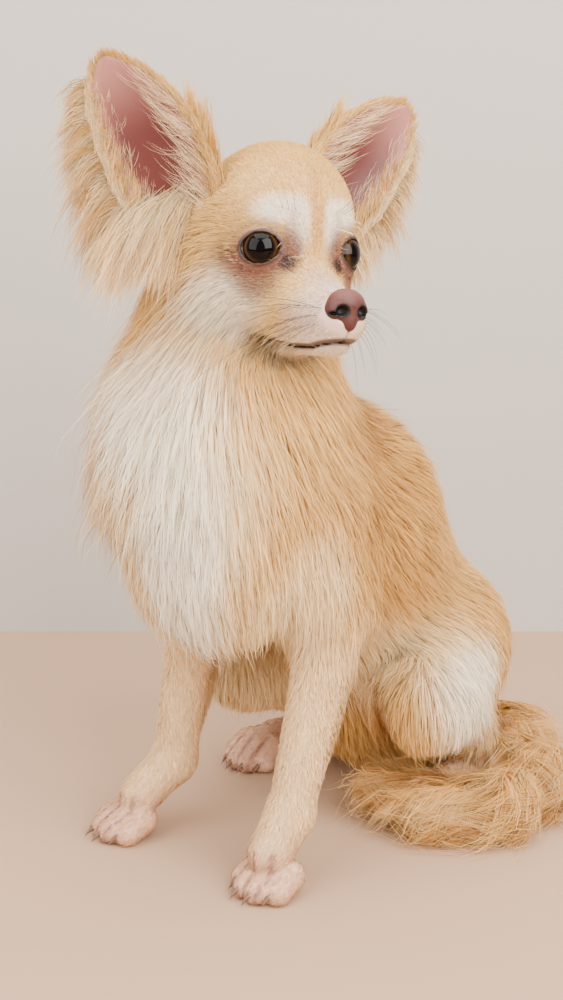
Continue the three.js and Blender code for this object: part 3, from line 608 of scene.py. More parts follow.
@functools.lru_cache(maxsize=1)
def skin_mesh():
    """The skin's points, its quads, and the unit normal and shares of each point."""
    cell = 1.5
    fine = 0.7
    verts, quads = surface_net(lambda p: body(p, False), (-66, -80, -2), (98, 144, 292), cell)
    centre = to_head(verts[quads].mean(1))
    seam = jaw_seam(centre)
    keep = ~((centre[:, 2] > seam + 3) & (skull(centre) < 4) | (centre[:, 1] < -26) & (skull(centre) < 3))
    quads = quads[keep]

    def near_head(q):
        return body(from_head(q))

    head_verts, head_quads = surface_net(near_head, (-40, -68, -54), (40, 44, 44), fine)
    centre = head_verts[head_quads].mean(1)
    seam = jaw_seam(centre)
    keep = (centre[:, 2] > seam - 3) & (skull(centre) < 5) | (centre[:, 1] < -22) & (skull(centre) < 4)
    head_quads = head_quads[keep]
    quads = np.concatenate([quads, head_quads + len(verts)])
    verts = np.concatenate([verts, from_head(head_verts)])
    used, back = np.unique(quads, return_inverse=True)
    verts, quads = verts[used], back.reshape(quads.shape)
    normals = slope(lambda p: body(p, False), verts)
    return verts, quads, normals, shares(verts)


def ear_leaf(s, rows=40, columns=26):
    """One ear's skin as points in the dog's space, quads, and how far in each point is on the inner side."""
    t = np.linspace(-0.16, 0.995, rows)
    w = np.linspace(-1, 1, columns)
    tt, ww = np.meshgrid(t, w, indexing="ij")
    front = ear_point(s, tt.ravel(), ww.ravel(), (1 - ww.ravel() ** 2) * EAR["thick"] / 2)
    rear = ear_point(s, tt.ravel(), ww.ravel(), -(1 - ww.ravel() ** 2) * EAR["thick"] / 2)
    i = np.arange(rows - 1)[:, None] * columns + np.arange(columns - 1)[None]
    quad = np.stack([i, i + 1, i + 1 + columns, i + columns], -1).reshape(-1, 4)
    if s < 0:
        quad = quad[:, ::-1]
    size = rows * columns
    quads = np.concatenate([quad, quad[:, ::-1] + size])
    inner = np.concatenate([np.ones(size), np.zeros(size)])
    where = np.concatenate([np.stack([tt.ravel(), ww.ravel()], 1)] * 2)
    return from_head(np.concatenate([front, rear])), quads, inner, where


# Making objects


def mesh_object(name, verts, faces, material, colours=None, smooth=True, uv=None):
    """A mesh object from points in the dog's space, moved into the frame's space."""
    mesh = bpy.data.meshes.new(name)
    corner = np.asarray(faces, np.int32)
    sides = corner.shape[1]
    mesh.vertices.add(len(verts))
    mesh.vertices.foreach_set("co", ((np.asarray(verts) + SHIFT) * MM).astype(F).ravel())
    mesh.loops.add(corner.size)
    mesh.loops.foreach_set("vertex_index", corner.ravel())
    mesh.polygons.add(len(corner))
    mesh.polygons.foreach_set("loop_start", np.arange(0, corner.size, sides, dtype=np.int32))
    mesh.polygons.foreach_set("use_smooth", np.full(len(corner), smooth))
    if colours is not None:
        layer = mesh.attributes.new("colour", "FLOAT_COLOR", "POINT")
        layer.data.foreach_set("color", np.column_stack([colours, np.ones(len(verts))]).astype(F).ravel())
    if uv is not None:
        layer = mesh.uv_layers.new(name="OFBake")
        layer.data.foreach_set("uv", uv[corner.ravel()].astype(F).ravel())
    mesh.update(calc_edges=True)
    mesh.validate()
    made = bpy.data.objects.new(name, mesh)
    bpy.context.scene.collection.objects.link(made)
    mesh.materials.append(material)
    return made


def ride(made, nodes=()):
    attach(made, "root")
    if nodes:
        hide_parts(*nodes)
    return made


def add_node(tree, kind, settings=None, **links):
    """A new shader node with its settings; links maps an input to a value or to another node's output."""
    node = tree.nodes.new(kind)
    for key, value in (settings or {}).items():
        setattr(node, key, value)
    for key, value in links.items():
        numbered = key[0] == "i" and key[1:].isdigit()
        socket = node.inputs[int(key[1:]) if numbered else key.replace("_", " ")]
        if isinstance(value, bpy.types.NodeSocket):
            tree.links.new(value, socket)
        else:
            socket.default_value = value
    return node


def new_material(name):
    material = bpy.data.materials.new(name)
    material.use_nodes = True
    material.node_tree.nodes.clear()
    return material, material.node_tree


def hair_material(name):
    """Dog's hair: colour carried along each lock, a soft sheen, and light that shines through the fine tips."""
    material, tree = new_material(name)
    colour = add_node(tree, "ShaderNodeAttribute", {"attribute_name": "colour"}).outputs["Color"]
    solid = add_node(
        tree, "ShaderNodeBsdfPrincipled", Base_Color=colour, Roughness=0.55, Specular_IOR_Level=0.2,
        Sheen_Weight=0.05, Sheen_Roughness=0.4,
    )
    through = add_node(tree, "ShaderNodeBsdfTranslucent", Color=colour)
    mixed = add_node(tree, "ShaderNodeMixShader", None, Fac=0.22, i1=solid.outputs[0], i2=through.outputs[0])
    add_node(tree, "ShaderNodeOutputMaterial", None, Surface=mixed.outputs[0])
    return material


def skin_material():
    """Dog's skin, pink and faintly moist, with fine pores."""
    material, tree = new_material("dog skin")
    colour = add_node(tree, "ShaderNodeAttribute", {"attribute_name": "colour"}).outputs["Color"]
    place = add_node(tree, "ShaderNodeTexCoord").outputs["Object"]
    grain = add_node(tree, "ShaderNodeTexNoise", None, Vector=place, Scale=0.9 / MM, Detail=3.0)
    bump = add_node(tree, "ShaderNodeBump", None, Strength=0.25, Distance=0.3 * MM, Height=grain.outputs["Fac"])
    skin = add_node(
        tree, "ShaderNodeBsdfPrincipled", Base_Color=colour, Roughness=0.5, Normal=bump.outputs[0],
        Subsurface_Weight=0.15, Subsurface_Scale=1.5 * MM,
    )
    add_node(tree, "ShaderNodeOutputMaterial", None, Surface=skin.outputs[0])
    return material


# The coat


TILES = 4
# The middle of each region, round which its skin is unrolled
MIDDLES = np.array([
    HEAD_AT, (-4, -15, 180), (0, 30, 110), (34, -20, 80), (-36, -18, 80),
    (36, 70, 50), (-36, 70, 50), (60, 75, 14),
], float)


def unwrap(p, w):
    """A place on the unrolled skin for each root: a tile for each region, round it across and along it up."""
    region = w.argmax(1)
    away = p - MIDDLES[region]
    lying = (region == TRUNK)[:, None]
    turned = np.where(lying, away[:, [0, 2, 1]], away)
    angle = np.arctan2(turned[:, 1], turned[:, 0]) / (2 * math.pi) + 0.5
    along = np.clip(turned[:, 2] / 220 + 0.5, 0, 1)
    u = (region % TILES + 0.03 + 0.94 * angle) / TILES
    v = (region // TILES + 0.03 + 0.94 * along) / TILES
    return np.stack([u, v], 1)


def lie(p, n, w):
    """The way the coat lies at each point, along the skin."""
    q = to_head(p)
    away = unit(q - (0, -60, -20))
    behind_mouth = ramp(q[:, 1], -22, 2)
    sides, below = ramp(np.abs(q[:, 0]), 14, 30), ramp(-q[:, 2], 8, 26)
    away[:, 2] -= 0.55 * sides * behind_mouth + 0.5 * below * behind_mouth
    head = head_way(away)
    side = np.clip((p[:, 0] + 6) / 40, -1, 1)
    front = 1 - ramp(p[:, 1], -30, 30)
    neck_way = np.stack([0.25 * side, 0.3 + 0 * side, -1 + 0 * side], 1)
    trunk_way = np.stack([0.1 * side, 0.75 - 0.6 * front, -0.55 - 0.45 * front], 1)
    ways = [head, neck_way, trunk_way]
    for name in LEGS:
        _, ahead, _ = toe_frame(name)
        low = (1 - ramp(p[:, 2], 12, 40))[:, None]
        down = np.array([0, 0.12, -1]) if name.startswith("fore") else np.array([0, 0.2, -1])
        ways.append(down * (1 - low * 0.5) + ahead * low * 0.9)
    ways.append(tail_way(p))
    way = sum(w[:, i : i + 1] * unit(one) for i, one in enumerate(ways))
    way -= n * (way * n).sum(1, keepdims=True)
    return unit(way)


def tail_way(p):
    """The tail's own direction, towards its tip, nearest each point."""
    best, way = np.full(len(p), 1e9), np.zeros((len(p), 3))
    for a, b in zip(TAIL[:-1, :3], TAIL[1:, :3]):
        t = np.clip(((p - a) @ (b - a)) / ((b - a) @ (b - a)), 0, 1)
        d = np.linalg.norm(p - a - np.outer(t, b - a), axis=1)
        way = np.where((d < best)[:, None], unit(b - a), way)
        best = np.minimum(best, d)
    return way


# Lengths of the hair, and how high its tips stand off the skin, added up place by place
LONG = dict(
    face=1.9, crown=5.5, cheek=22, nape=20, neck=30, ruff=16, throat=4, trunk=21, chest=8,
    foreleg=3.6, arm=14, feather=9, hind=3.8, thigh=15, tail=46,
)
HIGH = dict(
    face=0.5, crown=1.2, cheek=5, nape=3, neck=7, ruff=14, throat=2, trunk=5.5, chest=4,
    foreleg=0.9, arm=3.5, feather=3, hind=0.9, thigh=4, tail=8,
)
MOUTH_CORNER = dict(centre=(13, -17, -34), radii=(9, 8, 5))
BELLY = dict(centre=(28, 20, 50), radii=(17, 17, 24))


def coat(p, n, w):
    """Length of the coat at each point, and how high its tips stand off the skin."""
    q = mirrored(to_head(p))
    back = ramp(q[:, 1], -22, 12)
    side = ramp(q[:, 0], 18, 30) * ramp(-q[:, 2] + 18, 0, 16) * ramp(q[:, 1], -16, 2)
    nape = ramp(q[:, 1], 16, 32)
    face_long = LONG["face"] + LONG["crown"] * back + LONG["cheek"] * side
    face_long = face_long * (1 - 0.75 * spot(q, **MOUTH_CORNER))
    face_high = HIGH["face"] + HIGH["crown"] * back + HIGH["cheek"] * side + HIGH["nape"] * nape
    right = np.clip(n @ unit([-0.8, -0.6, 0]), 0, 1)
    front = np.clip(-n[:, 1], 0, 1)
    rows = [
        (np.maximum(face_long, LONG["nape"] * nape), face_high),
        tuple(size["neck"] + size["ruff"] * right + size["throat"] * front for size in (LONG, HIGH)),
        (
            LONG["trunk"] + LONG["chest"] * front * ramp(-p[:, 1], 20, 40),
            HIGH["trunk"] + HIGH["chest"] * right * front,
        ),
    ]
    arm, thigh = ramp(p[:, 2], 70, 135), ramp(p[:, 2], 22, 60)
    feather = ramp(n[:, 1], 0.1, 0.8) * ramp(p[:, 2], 36, 70)
    bare = 1 - 0.65 * spot(p, **BELLY)
    for name in LEGS:
        if name.startswith("fore"):
            rows.append(tuple(
                size["foreleg"] + size["arm"] * arm + size["feather"] * feather for size in (LONG, HIGH)
            ))
        else:
            rows.append(tuple((size["hind"] + size["thigh"] * thigh) * bare for size in (LONG, HIGH)))
    rows.append((LONG["tail"], HIGH["tail"]))
    long = sum(w[:, i] * one[0] for i, one in enumerate(rows))
    high = sum(w[:, i] * one[1] for i, one in enumerate(rows))
    paws = 1 - ramp(p[:, 2], 6, 30)
    legs = w[:, FORE_L : HIND_R + 1].sum(1)
    return long * (1 - 0.35 * paws * legs), high * (1 - 0.4 * paws * legs)


# Steps along a guide hair, and how far off the skin's slope is felt at each
STEPS = 6
PROBE = 0.8


def combed(root, n, way, long, high, wild, rng):
    """Paths of guide hairs that leave the skin along way and then keep their height over it."""
    path = [root]
    at, heading = root.copy(), unit(way + n * (high / long * 1.6 + 0.15)[:, None])
    heading = unit(heading + rng.normal(0, 1, root.shape) * wild[:, None])
    step = (long / STEPS)[:, None]
    down = np.array([0, 0, -1.0])

    def field(x):
        return body(x, False)

    for i in range(1, STEPS + 1):
        at = at + heading * step
        d = field(at)
        grad = unit(np.stack([field(at + np.eye(3)[k] * PROBE) - d for k in range(3)], 1))
        want = high * np.sin(min(i / STEPS * 1.25, 1) * math.pi / 2)
        at = at + grad * ((want - d) * 0.55)[:, None]
        at[:, 2] = np.maximum(at[:, 2], 0.5)
        along = unit(at - path[-1])
        heading = unit(along + way * 0.25 + down * (0.05 + 0.1 * ramp(long, 14, 36))[:, None])
        path.append(at)
    return np.stack(path, 1)


def nearest(points, targets):
    """Index of the nearest target of each point."""
    tree = KDTree(len(targets))
    for i, t in enumerate(targets):
        tree.insert(t, i)
    tree.balance()
    return np.array([tree.find(x)[1] for x in points])


def ribbons(paths, across, wide, rows):
    """Flat tapering strips along paths, as points and quads or triangles per strip."""
    count, samples = len(paths), rows + 1
    t = np.linspace(0, 1, samples)
    at = t * (paths.shape[1] - 1)
    low = np.minimum(at.astype(int), paths.shape[1] - 2)
    part = (at - low)[None, :, None]
    p = paths[:, low] * (1 - part) + paths[:, low + 1] * part
    half = (wide[:, None] / 2 * (1 - 0.55 * t[None, :-1] ** 2))[..., None] * across[:, None, :]
    left, right = p[:, :-1] - half, p[:, :-1] + half
    verts = np.concatenate([np.stack([left, right], 2).reshape(count, -1, 3), p[:, -1:]], 1)
    size = 2 * rows + 1
    i = np.arange(rows - 1) * 2
    tip = [[2 * rows - 2, 2 * rows - 1, 2 * rows]]
    strip = np.concatenate([np.stack([i, i + 1, i + 3], 1), np.stack([i, i + 3, i + 2], 1), tip])
    faces = (np.arange(count)[:, None, None] * size + strip[None]).reshape(-1, 3)
    along = np.concatenate([np.repeat(t[:-1], 2), [1.0]])
    return verts.reshape(-1, 3), faces, np.tile(along, count), size


PATCH = 0.003


def kept_in(paths):
    """The same hairs, with those that would end far outside the solids' box made shorter."""
    root = paths[:, :1]
    reach = paths - root
    room = np.where(reach > 0, BOX_HIGH + SPARE - root, root - BOX_LOW + SPARE)
    over = (np.abs(reach) / np.maximum(room, 0.1)).max(axis=(1, 2))
    return root + reach / np.maximum(over, 1)[:, None, None]


def coat_object(name, n, paths, wide, rows, colours, uv, rng, material, tips=0.2):
    """One piece of coat from hairs' paths; colours are at the roots, darkened near the roots as painted shade
    deep in the coat, and lighten to the tips.
    """
    paths = kept_in(paths)
    along = unit(paths[:, -1] - paths[:, 0])
    across = unit(np.cross(along, n) + rng.normal(0, 0.35, n.shape))
    across = unit(across - along * (across * along).sum(1, keepdims=True))
    verts, faces, t, size = ribbons(paths, across, wide, rows)
    tone = np.repeat(colours * (1 + rng.normal(0, 0.07, (len(colours), 1))), size, 0)
    pale = mix(tone, WHITE, 0.5)
    # painted shade: the lower half of each hair darkened towards its root, where the coat shades itself
    tone = tone * (0.68 + 0.32 * ramp(t, 0, 0.5))[:, None]
    tone = mix(tone, pale, (tips * ramp(t, 0.45, 1))[:, None])
    side = np.tile(np.concatenate([np.tile([-0.5, 0.5], rows), [0.0]]), len(paths))
    place = np.repeat(uv, size, 0) + np.stack([side * PATCH, t * PATCH], 1)
    made = mesh_object(name, verts, faces, material, tone, uv=place)
    soft = np.repeat(unit(n), size, 0)
    lifted = unit(np.repeat(unit(np.cross(across, along)), size, 0))
    lifted *= np.sign((lifted * soft).sum(1, keepdims=True) + 1e-9)
    made.data.normals_split_custom_set_from_vertices(unit(soft * 0.85 + lifted * 0.32).astype(F))
    return ride(made)


def scattered(verts, quads, weight, count, rng):
    """Random points on quads, with weight hairs to a unit of area, and the quad and mix of each."""
    a, b, c, d = (verts[quads[:, i]] for i in range(4))
    area = np.linalg.norm(np.cross(c - a, d - b), axis=1) / 2
    chance = area * weight[quads].mean(1)
    pick = rng.choice(len(quads), count, p=chance / chance.sum())
    u, v = rng.random((2, count, 1))
    mix = np.concatenate([(1 - u) * (1 - v), u * (1 - v), u * v, (1 - u) * v], 1)
    return pick, mix


def spread(values, quads, pick, mix):
    return (values[quads[pick]] * mix[..., None]).sum(1)


def grow(name, choose, wide, count, rows, clumps, pull, wild, seed, curl=0.0, tips=0.2):
    """Hairs over the part of the skin that choose weighs, gathered into clumps."""
    material = coat_material()
    rng = np.random.default_rng(seed)
    verts, quads, normals, w = skin_mesh()
    weight = choose(verts, normals, w)
    pick, mix = scattered(verts, quads, weight, count, rng)
    root, n = spread(verts, quads, pick, mix), unit(spread(normals, quads, pick, mix))
    share = spread(w, quads, pick, mix)
    guide = rng.choice(count, clumps, replace=False)
    groot, gn, gshare = root[guide], n[guide], share[guide]
    long, high = coat(groot, gn, gshare)
    long = long * rng.uniform(0.75, 1.15, clumps)
    gway = lie(groot, gn, gshare)
    paths = combed(groot - gn * 0.3, gn, gway, long, high, np.full(clumps, wild), rng)
    if curl:
        turn = rng.uniform(0, 2 * math.pi, (clumps, 1))
        t = np.linspace(0, 1, STEPS + 1)[None]
        swing = np.sin(turn + t * 5.5) * t * curl * long[:, None] * 0.1
        paths += np.cross(gway, gn)[:, None, :] * swing[..., None]
        paths[..., 2] = np.maximum(paths[..., 2], 0.5)
    near = nearest(root, groot)
    own = paths[near]
    t = np.linspace(0, 1, STEPS + 1)[None, :, None]
    gather = pull * t**1.3 * rng.uniform(0.5, 1.2, (count, 1, 1))
    astray = (rng.random((count, 1, 1)) < 0.06) * (long[near] > 8)[:, None, None]
    trim = rng.uniform(0.7, 1.05, (count, 1, 1)) * (1 + 0.3 * astray)
    hair = root[:, None] + (own - own[:, :1]) * trim + (own[:, :1] - root[:, None]) * np.clip(gather, 0, 0.95)
    loose = rng.normal(0, 1, (count, 1, 3)) * (long[near] * 0.045)[:, None, None]
    hair = hair + loose * (1 + 1.2 * astray) * t**2
    hair -= n[:, None] * 0.3
    hair[..., 2] = np.maximum(hair[..., 2], 0.4)
    clump_tone = rng.normal(0, 0.09, clumps)[near]
    colours = markings(root, share) * (1 + clump_tone[:, None])
    return coat_object(
        f"coat_{name}", n, hair, np.full(count, wide) * rng.uniform(0.7, 1.3, count), rows, colours,
        unwrap(root, share), rng, material, tips,
    )


# Operators: one for each piece or group of like pieces


# Each coat: hairs, rows to a hair, clumps, how far a clump draws together, how ruffled it is, and its seed
COATS = dict(
    face=dict(count=62000, rows=2, clumps=24000, pull=0.3, wild=0.1, seed=5, tips=0.12),
    cheeks=dict(count=26000, rows=3, clumps=5200, pull=0.45, wild=0.12, seed=6),
    neck=dict(count=27000, rows=4, clumps=6500, pull=0.36, wild=0.14, seed=11),
    chest=dict(count=31000, rows=3, clumps=8000, pull=0.3, wild=0.12, seed=12),
    back=dict(count=31000, rows=3, clumps=8000, pull=0.3, wild=0.09, seed=13),
    thighs=dict(count=29000, rows=3, clumps=8000, pull=0.3, wild=0.09, seed=14),
    forelegs=dict(count=52000, rows=2, clumps=17000, pull=0.35, wild=0.1, seed=21),
    hind_feet=dict(count=24000, rows=2, clumps=9000, pull=0.35, wild=0.1, seed=22),
    tail=dict(count=17500, rows=5, clumps=620, pull=0.8, wild=0.16, seed=31, curl=2.2, tips=0.35),
)
CHEEK_HAIR = 0.28


def by_region(*which):
    return lambda p, n, w: w[:, list(which)].sum(1)


def head_hair(p, n, w):
    """Dense on the face, and none on the open eyes, the nose, and the bare edge of the lids."""
    q = to_head(p)
    across, up, ahead = eye_place(q)
    bare = (lid_ring(across, up) < 1.6) & (ahead > 0)
    nose = np.linalg.norm((q - (0, -58, -24.5)) / (10.5, 8.5, 9.5), axis=1) < 1
    above = q[:, 2] - muzzle_line(q)
    lips = (above > -1.2) & (above < 2.3 + 0.12 * np.maximum(q[:, 1] + 34, 0)) & (q[:, 1] < -11)
    front = 1 - ramp(q[:, 1], -24, 10)
    return w[:, HEAD] * (0.55 + 0.9 * front) * ~(bare | nose | lips)


def front_half(p, n, w):
    return (w[:, TRUNK] + w[:, NECK] * 0.2) * (1 - ramp(p[:, 1], -6, 10))


def back_half(p, n, w):
    return w[:, TRUNK] * ramp(p[:, 1], -6, 10)


def long_on_head(p, n, w):
    return w[:, HEAD] * ramp(coat(p, n, w)[0], 6, 14)


def thighs(p, n, w):
    return w[:, HIND_L : HIND_R + 1].sum(1) * ramp(p[:, 2], 20, 40)


def hind_feet(p, n, w):
    return w[:, HIND_L : HIND_R + 1].sum(1) * (1 - ramp(p[:, 2], 22, 44))


class ChihuahuaSizes(bpy.types.PropertyGroup):
    """Sizes and colours that a user may change"""

    hair_width: bpy.props.FloatProperty(
        name="Hair width", description="Width of the long hairs at their roots", default=0.3 * MM,
        min=0.1 * MM, max=2 * MM, unit="LENGTH", subtype="DISTANCE",
    )
    fine_width: bpy.props.FloatProperty(
        name="Fine hair width", description="Width of the short hairs on the face and legs", default=0.24 * MM,
        min=0.1 * MM, max=2 * MM, unit="LENGTH", subtype="DISTANCE",
    )
    iris: bpy.props.FloatVectorProperty(
        name="Iris", description="Colour of the iris", default=tuple(rgb("3F2A12")), size=3, min=0, max=1,
        subtype="COLOR",
    )
    claw: bpy.props.FloatVectorProperty(
        name="Claw", description="Colour of the claws", default=tuple(rgb("6E4E3A")), size=3, min=0, max=1,
        subtype="COLOR",
    )


def sizes():
    return bpy.context.scene.chihuahua


def coat_material():
    return bpy.data.materials.get("dog hair") or hair_material("dog hair")


class ChihuahuaSkin(bpy.types.Operator):
    """Make the skin of the body and the ears"""

    bl_idname = "chihuahua.skin"
    bl_label = "Skin"

    def execute(self, context):
        verts, quads, normals, w = skin_mesh()
        q = to_head(verts)
        coated = markings(verts, w)
        legs = w[:, FORE_L : HIND_R + 1].sum(1) * (1 - ramp(verts[:, 2], 20, 60))
        pink = (0.14 + 0.26 * np.maximum(legs, w[:, HEAD] * (1 - ramp(q[:, 1], -40, -20))))[:, None]
        colour = coated * 0.85 * (1 - pink) + PINK_SKIN * pink
        across, up, ahead = eye_place(q)
        ring = lid_ring(across, up)
        lids = (1 - ramp(ring, 1.2, 4.5)) * (ahead > 0) * (w[:, HEAD] > 0.5)
        colour = mix(colour, LID_SKIN, lids[:, None])
        edge = (1 - ramp(ring, 0.9, 2.1)) * (ahead > 0) * (w[:, HEAD] > 0.5)
        colour = mix(colour, DARK_LINE, edge[:, None])
        line = (1 - ramp(np.abs(q[:, 2] - muzzle_line(q)), 0.8, 1.6)) * (q[:, 1] < -11) * (w[:, HEAD] > 0.4)
        colour = mix(colour, DARK_LINE, (line * 0.85)[:, None])
        for s in (1, -1):
            leaf, faces, inner, where = ear_leaf(s)
            t, side = where[:, 0], np.abs(where[:, 1])
            # painted shade: the middle of the hollow, towards the root, darkened to deep red
            deep_red_and_shade = ramp(1 - side, 0.05, 0.5) * inner
            tone = np.tile(GOLD * 0.9, (len(leaf), 1))
            tone = mix(tone, EAR_PINK, (inner * ramp(1 - side, 0.0, 0.14))[:, None])
            tone = mix(tone, EAR_DEEP_RED_AND_SHADE, (deep_red_and_shade * (1 - ramp(t, 0.45, 1.1)))[:, None])
            quads = np.concatenate([quads, faces + len(verts)])
            verts, colour = np.concatenate([verts, leaf]), np.concatenate([colour, tone])
        made = mesh_object("skin", verts, quads, skin_material(), colour)
        nodes = ["torso", "neck", "head", "ear_left", "ear_right", "tail_base", "tail_plume"]
        ride(made, nodes + [f"{a}leg_{b}" for a in ("fore", "hind") for b in ("left", "right")])
        return {"FINISHED"}


# Length along the eyeball that the colour band covers, from the middle of the pupil
BAND = 10.0


def eye_material():
    """A moist eyeball: a dark pupil, a fibrous iris with a dark limbus, and a bluish white."""
    material, tree = new_material("eye")
    place = add_node(tree, "ShaderNodeAttribute", {"attribute_name": "gaze"}).outputs["Vector"]
    parts = add_node(tree, "ShaderNodeSeparateXYZ", None, Vector=place)
    out = parts.outputs["X"]
    turn = parts.outputs["Y"]
    fibre = add_node(tree, "ShaderNodeCombineXYZ", None, X=turn, Y=out)
    stretched = add_node(
        tree, "ShaderNodeVectorMath", {"operation": "MULTIPLY"}, i0=fibre.outputs[0], i1=(22.0, 1.2, 1.0),
    )
    noise = add_node(tree, "ShaderNodeTexNoise", None, Vector=stretched.outputs[0], Scale=1.0, Detail=3.0)
    ringed = add_node(
        tree, "ShaderNodeMath", {"operation": "MULTIPLY_ADD"}, i0=noise.outputs["Fac"], i1=0.9, i2=out,
    )
    share = add_node(tree, "ShaderNodeMath", {"operation": "DIVIDE"}, i0=ringed.outputs[0], i1=BAND)
    ramp_node = add_node(tree, "ShaderNodeValToRGB", None, Fac=share.outputs[0])
    stops = [
        (0.0, rgb("020101")), (0.49, rgb("040202")), (0.55, rgb("140B06")), (0.66, tuple(sizes().iris)),
        (0.76, rgb("24170B")), (0.82, rgb("080503")), (0.88, rgb("5A5354")), (0.96, rgb("A9A3AA")),
    ]
    band = ramp_node.color_ramp
    for i, (at, tone) in enumerate(stops):
        stop = band.elements[i] if i < 2 else band.elements.new(at)
        stop.position, stop.color = at, (*tone, 1)
    wet = add_node(
        tree, "ShaderNodeBsdfPrincipled", Base_Color=ramp_node.outputs["Color"], Roughness=0.4,
        Specular_IOR_Level=0.0, Coat_Weight=0.7, Coat_Roughness=0.02, Coat_IOR=1.33,
    )
    add_node(tree, "ShaderNodeOutputMaterial", None, Surface=wet.outputs[0])
    return material


class ChihuahuaEyes(bpy.types.Operator):
    """Make both eyeballs, each looking where the head faces"""

    bl_idname = "chihuahua.eyes"
    bl_label = "Eyes"

    def execute(self, context):
        material = eye_material()
        rings, around = 60, 64
        for s, side in ((1, "left"), (-1, "right")):
            gaze = unit(GAZE * (s, 1, 1) + (0.06, 0, 0))
            right = unit(np.cross([0, 0, 1], gaze))
            up = np.cross(gaze, right)
            theta = np.linspace(0, math.pi, rings + 1)[:, None]
            phi = np.linspace(0, 2 * math.pi, around, endpoint=False)[None]
            bulge = EYE_RADIUS + 0.9 * (1 - ramp(theta, 0.2, 0.95))
            local = (np.sin(theta) * np.cos(phi), np.sin(theta) * np.sin(phi), np.cos(theta) + 0 * phi)
            p = sum((bulge * part)[..., None] * axis for part, axis in zip(local, (right, up, gaze)))
            q = p.reshape(-1, 3) + EYE * (s, 1, 1)
            i = np.arange(rings)[:, None] * around
            j = np.arange(around)[None]
            k = (j + 1) % around
            quads = np.stack([i + j, i + k, i + around + k, i + around + j], -1).reshape(-1, 4)[:, ::-1]
            made = mesh_object(f"eyeball_{side}", from_head(q), quads, material)
            arc = np.repeat(theta.ravel() * EYE_RADIUS, around)
            turn = np.tile(phi.ravel(), rings + 1)
            layer = made.data.attributes.new("gaze", "FLOAT_VECTOR", "POINT")
            layer.data.foreach_set("vector", np.stack([arc, np.sin(turn), 0 * arc], 1).astype(F).ravel())
            ride(made, [f"eye_{side}"])
        return {"FINISHED"}


class ChihuahuaNose(bpy.types.Operator):
    """Make the nose leather with its two nostrils"""

    bl_idname = "chihuahua.nose"
    bl_label = "Nose"

    def execute(self, context):
        def leather(q):
            m = mirrored(q)
            d = melt(3, egg(q, (0, -55.2, -22.6), (7.4, 6.2, 5.8)), egg(q, (0, -56.4, -28.6), (3.6, 4.2, 4.2)))
            d = smin(d, egg(m, (5.4, -55.4, -25.2), (3.1, 4.4, 3.6)), 1.6)
            d = smax(d, -nostril(m), 0.8)
            groove = np.maximum(np.hypot(q[:, 0], (q[:, 1] + 62.4) * 0.8) - 0.9, q[:, 2] + 24)
            return smax(d, -groove, 0.6)

        def nostril(m):
            hole = egg(m, (4.4, -61.0, -25.2), (2.3, 3.6, 2.1))
            return np.minimum(hole, egg(m, (6.9, -58.6, -26.2), (1.7, 2.0, 0.5)))

        verts, quads = surface_net(leather, (-13, -66, -36), (13, -44, -12), 0.32)
        m = mirrored(verts)
        tone = np.tile(LEATHER, (len(verts), 1))
        # painted highlight: the top of the leather lighter where the light falls
        tone += (LEATHER_HIGHLIGHT - tone) * ramp(verts[:, 2], -24, -17)[:, None] * 0.7
        # painted shade: near black inside and round the nostril holes
        tone = mix(tone, NOSTRIL_SHADE, (1 - ramp(nostril(m), 0.2, 1.2))[:, None])
        material, tree = new_material("nose leather")
        colour = add_node(tree, "ShaderNodeAttribute", {"attribute_name": "colour"}).outputs["Color"]
        place = add_node(tree, "ShaderNodeTexCoord").outputs["Object"]
        cells = add_node(tree, "ShaderNodeTexVoronoi", None, Vector=place, Scale=1.3 / MM)
        bump = add_node(
            tree, "ShaderNodeBump", None, Strength=0.45, Distance=0.25 * MM, Height=cells.outputs["Distance"],
        )
        leather_shade = add_node(
            tree, "ShaderNodeBsdfPrincipled", Base_Color=colour, Roughness=0.5, Normal=bump.outputs[0],
            Specular_IOR_Level=0.35,
        )
        add_node(tree, "ShaderNodeOutputMaterial", None, Surface=leather_shade.outputs[0])
        ride(mesh_object("nose_leather", from_head(verts), quads, material, tone), ["nose"])
        return {"FINISHED"}


def tubes(lines_, radii, sides=6):
    """Tapering round tubes along rows of points, closed at the tip, as points and quads."""
    verts, quads = [], []
    for line, radius in zip(lines_, radii):
        line = np.asarray(line, float)
        along = unit(np.gradient(line, axis=0))
        side = unit(np.cross(along, along[0] + (0.3, 0.5, 0.7)))
        up = np.cross(along, side)
        n = len(line)
        angle = np.arange(sides) * 2 * math.pi / sides
        ring = np.cos(angle)[None, :, None] * side[:, None] + np.sin(angle)[None, :, None] * up[:, None]
        taper = np.asarray(radius, float).reshape(n, 1, 1)
        base = sum(len(v) for v in verts)
        verts.append((line[:, None] + ring * taper).reshape(-1, 3))
        i = np.arange(n - 1)[:, None] * sides
        j, k = np.arange(sides)[None], (np.arange(sides)[None] + 1) % sides
        quads.append(np.stack([i + j, i + k, i + sides + k, i + sides + j], -1).reshape(-1, 4) + base)
    return np.concatenate(verts), np.concatenate(quads)


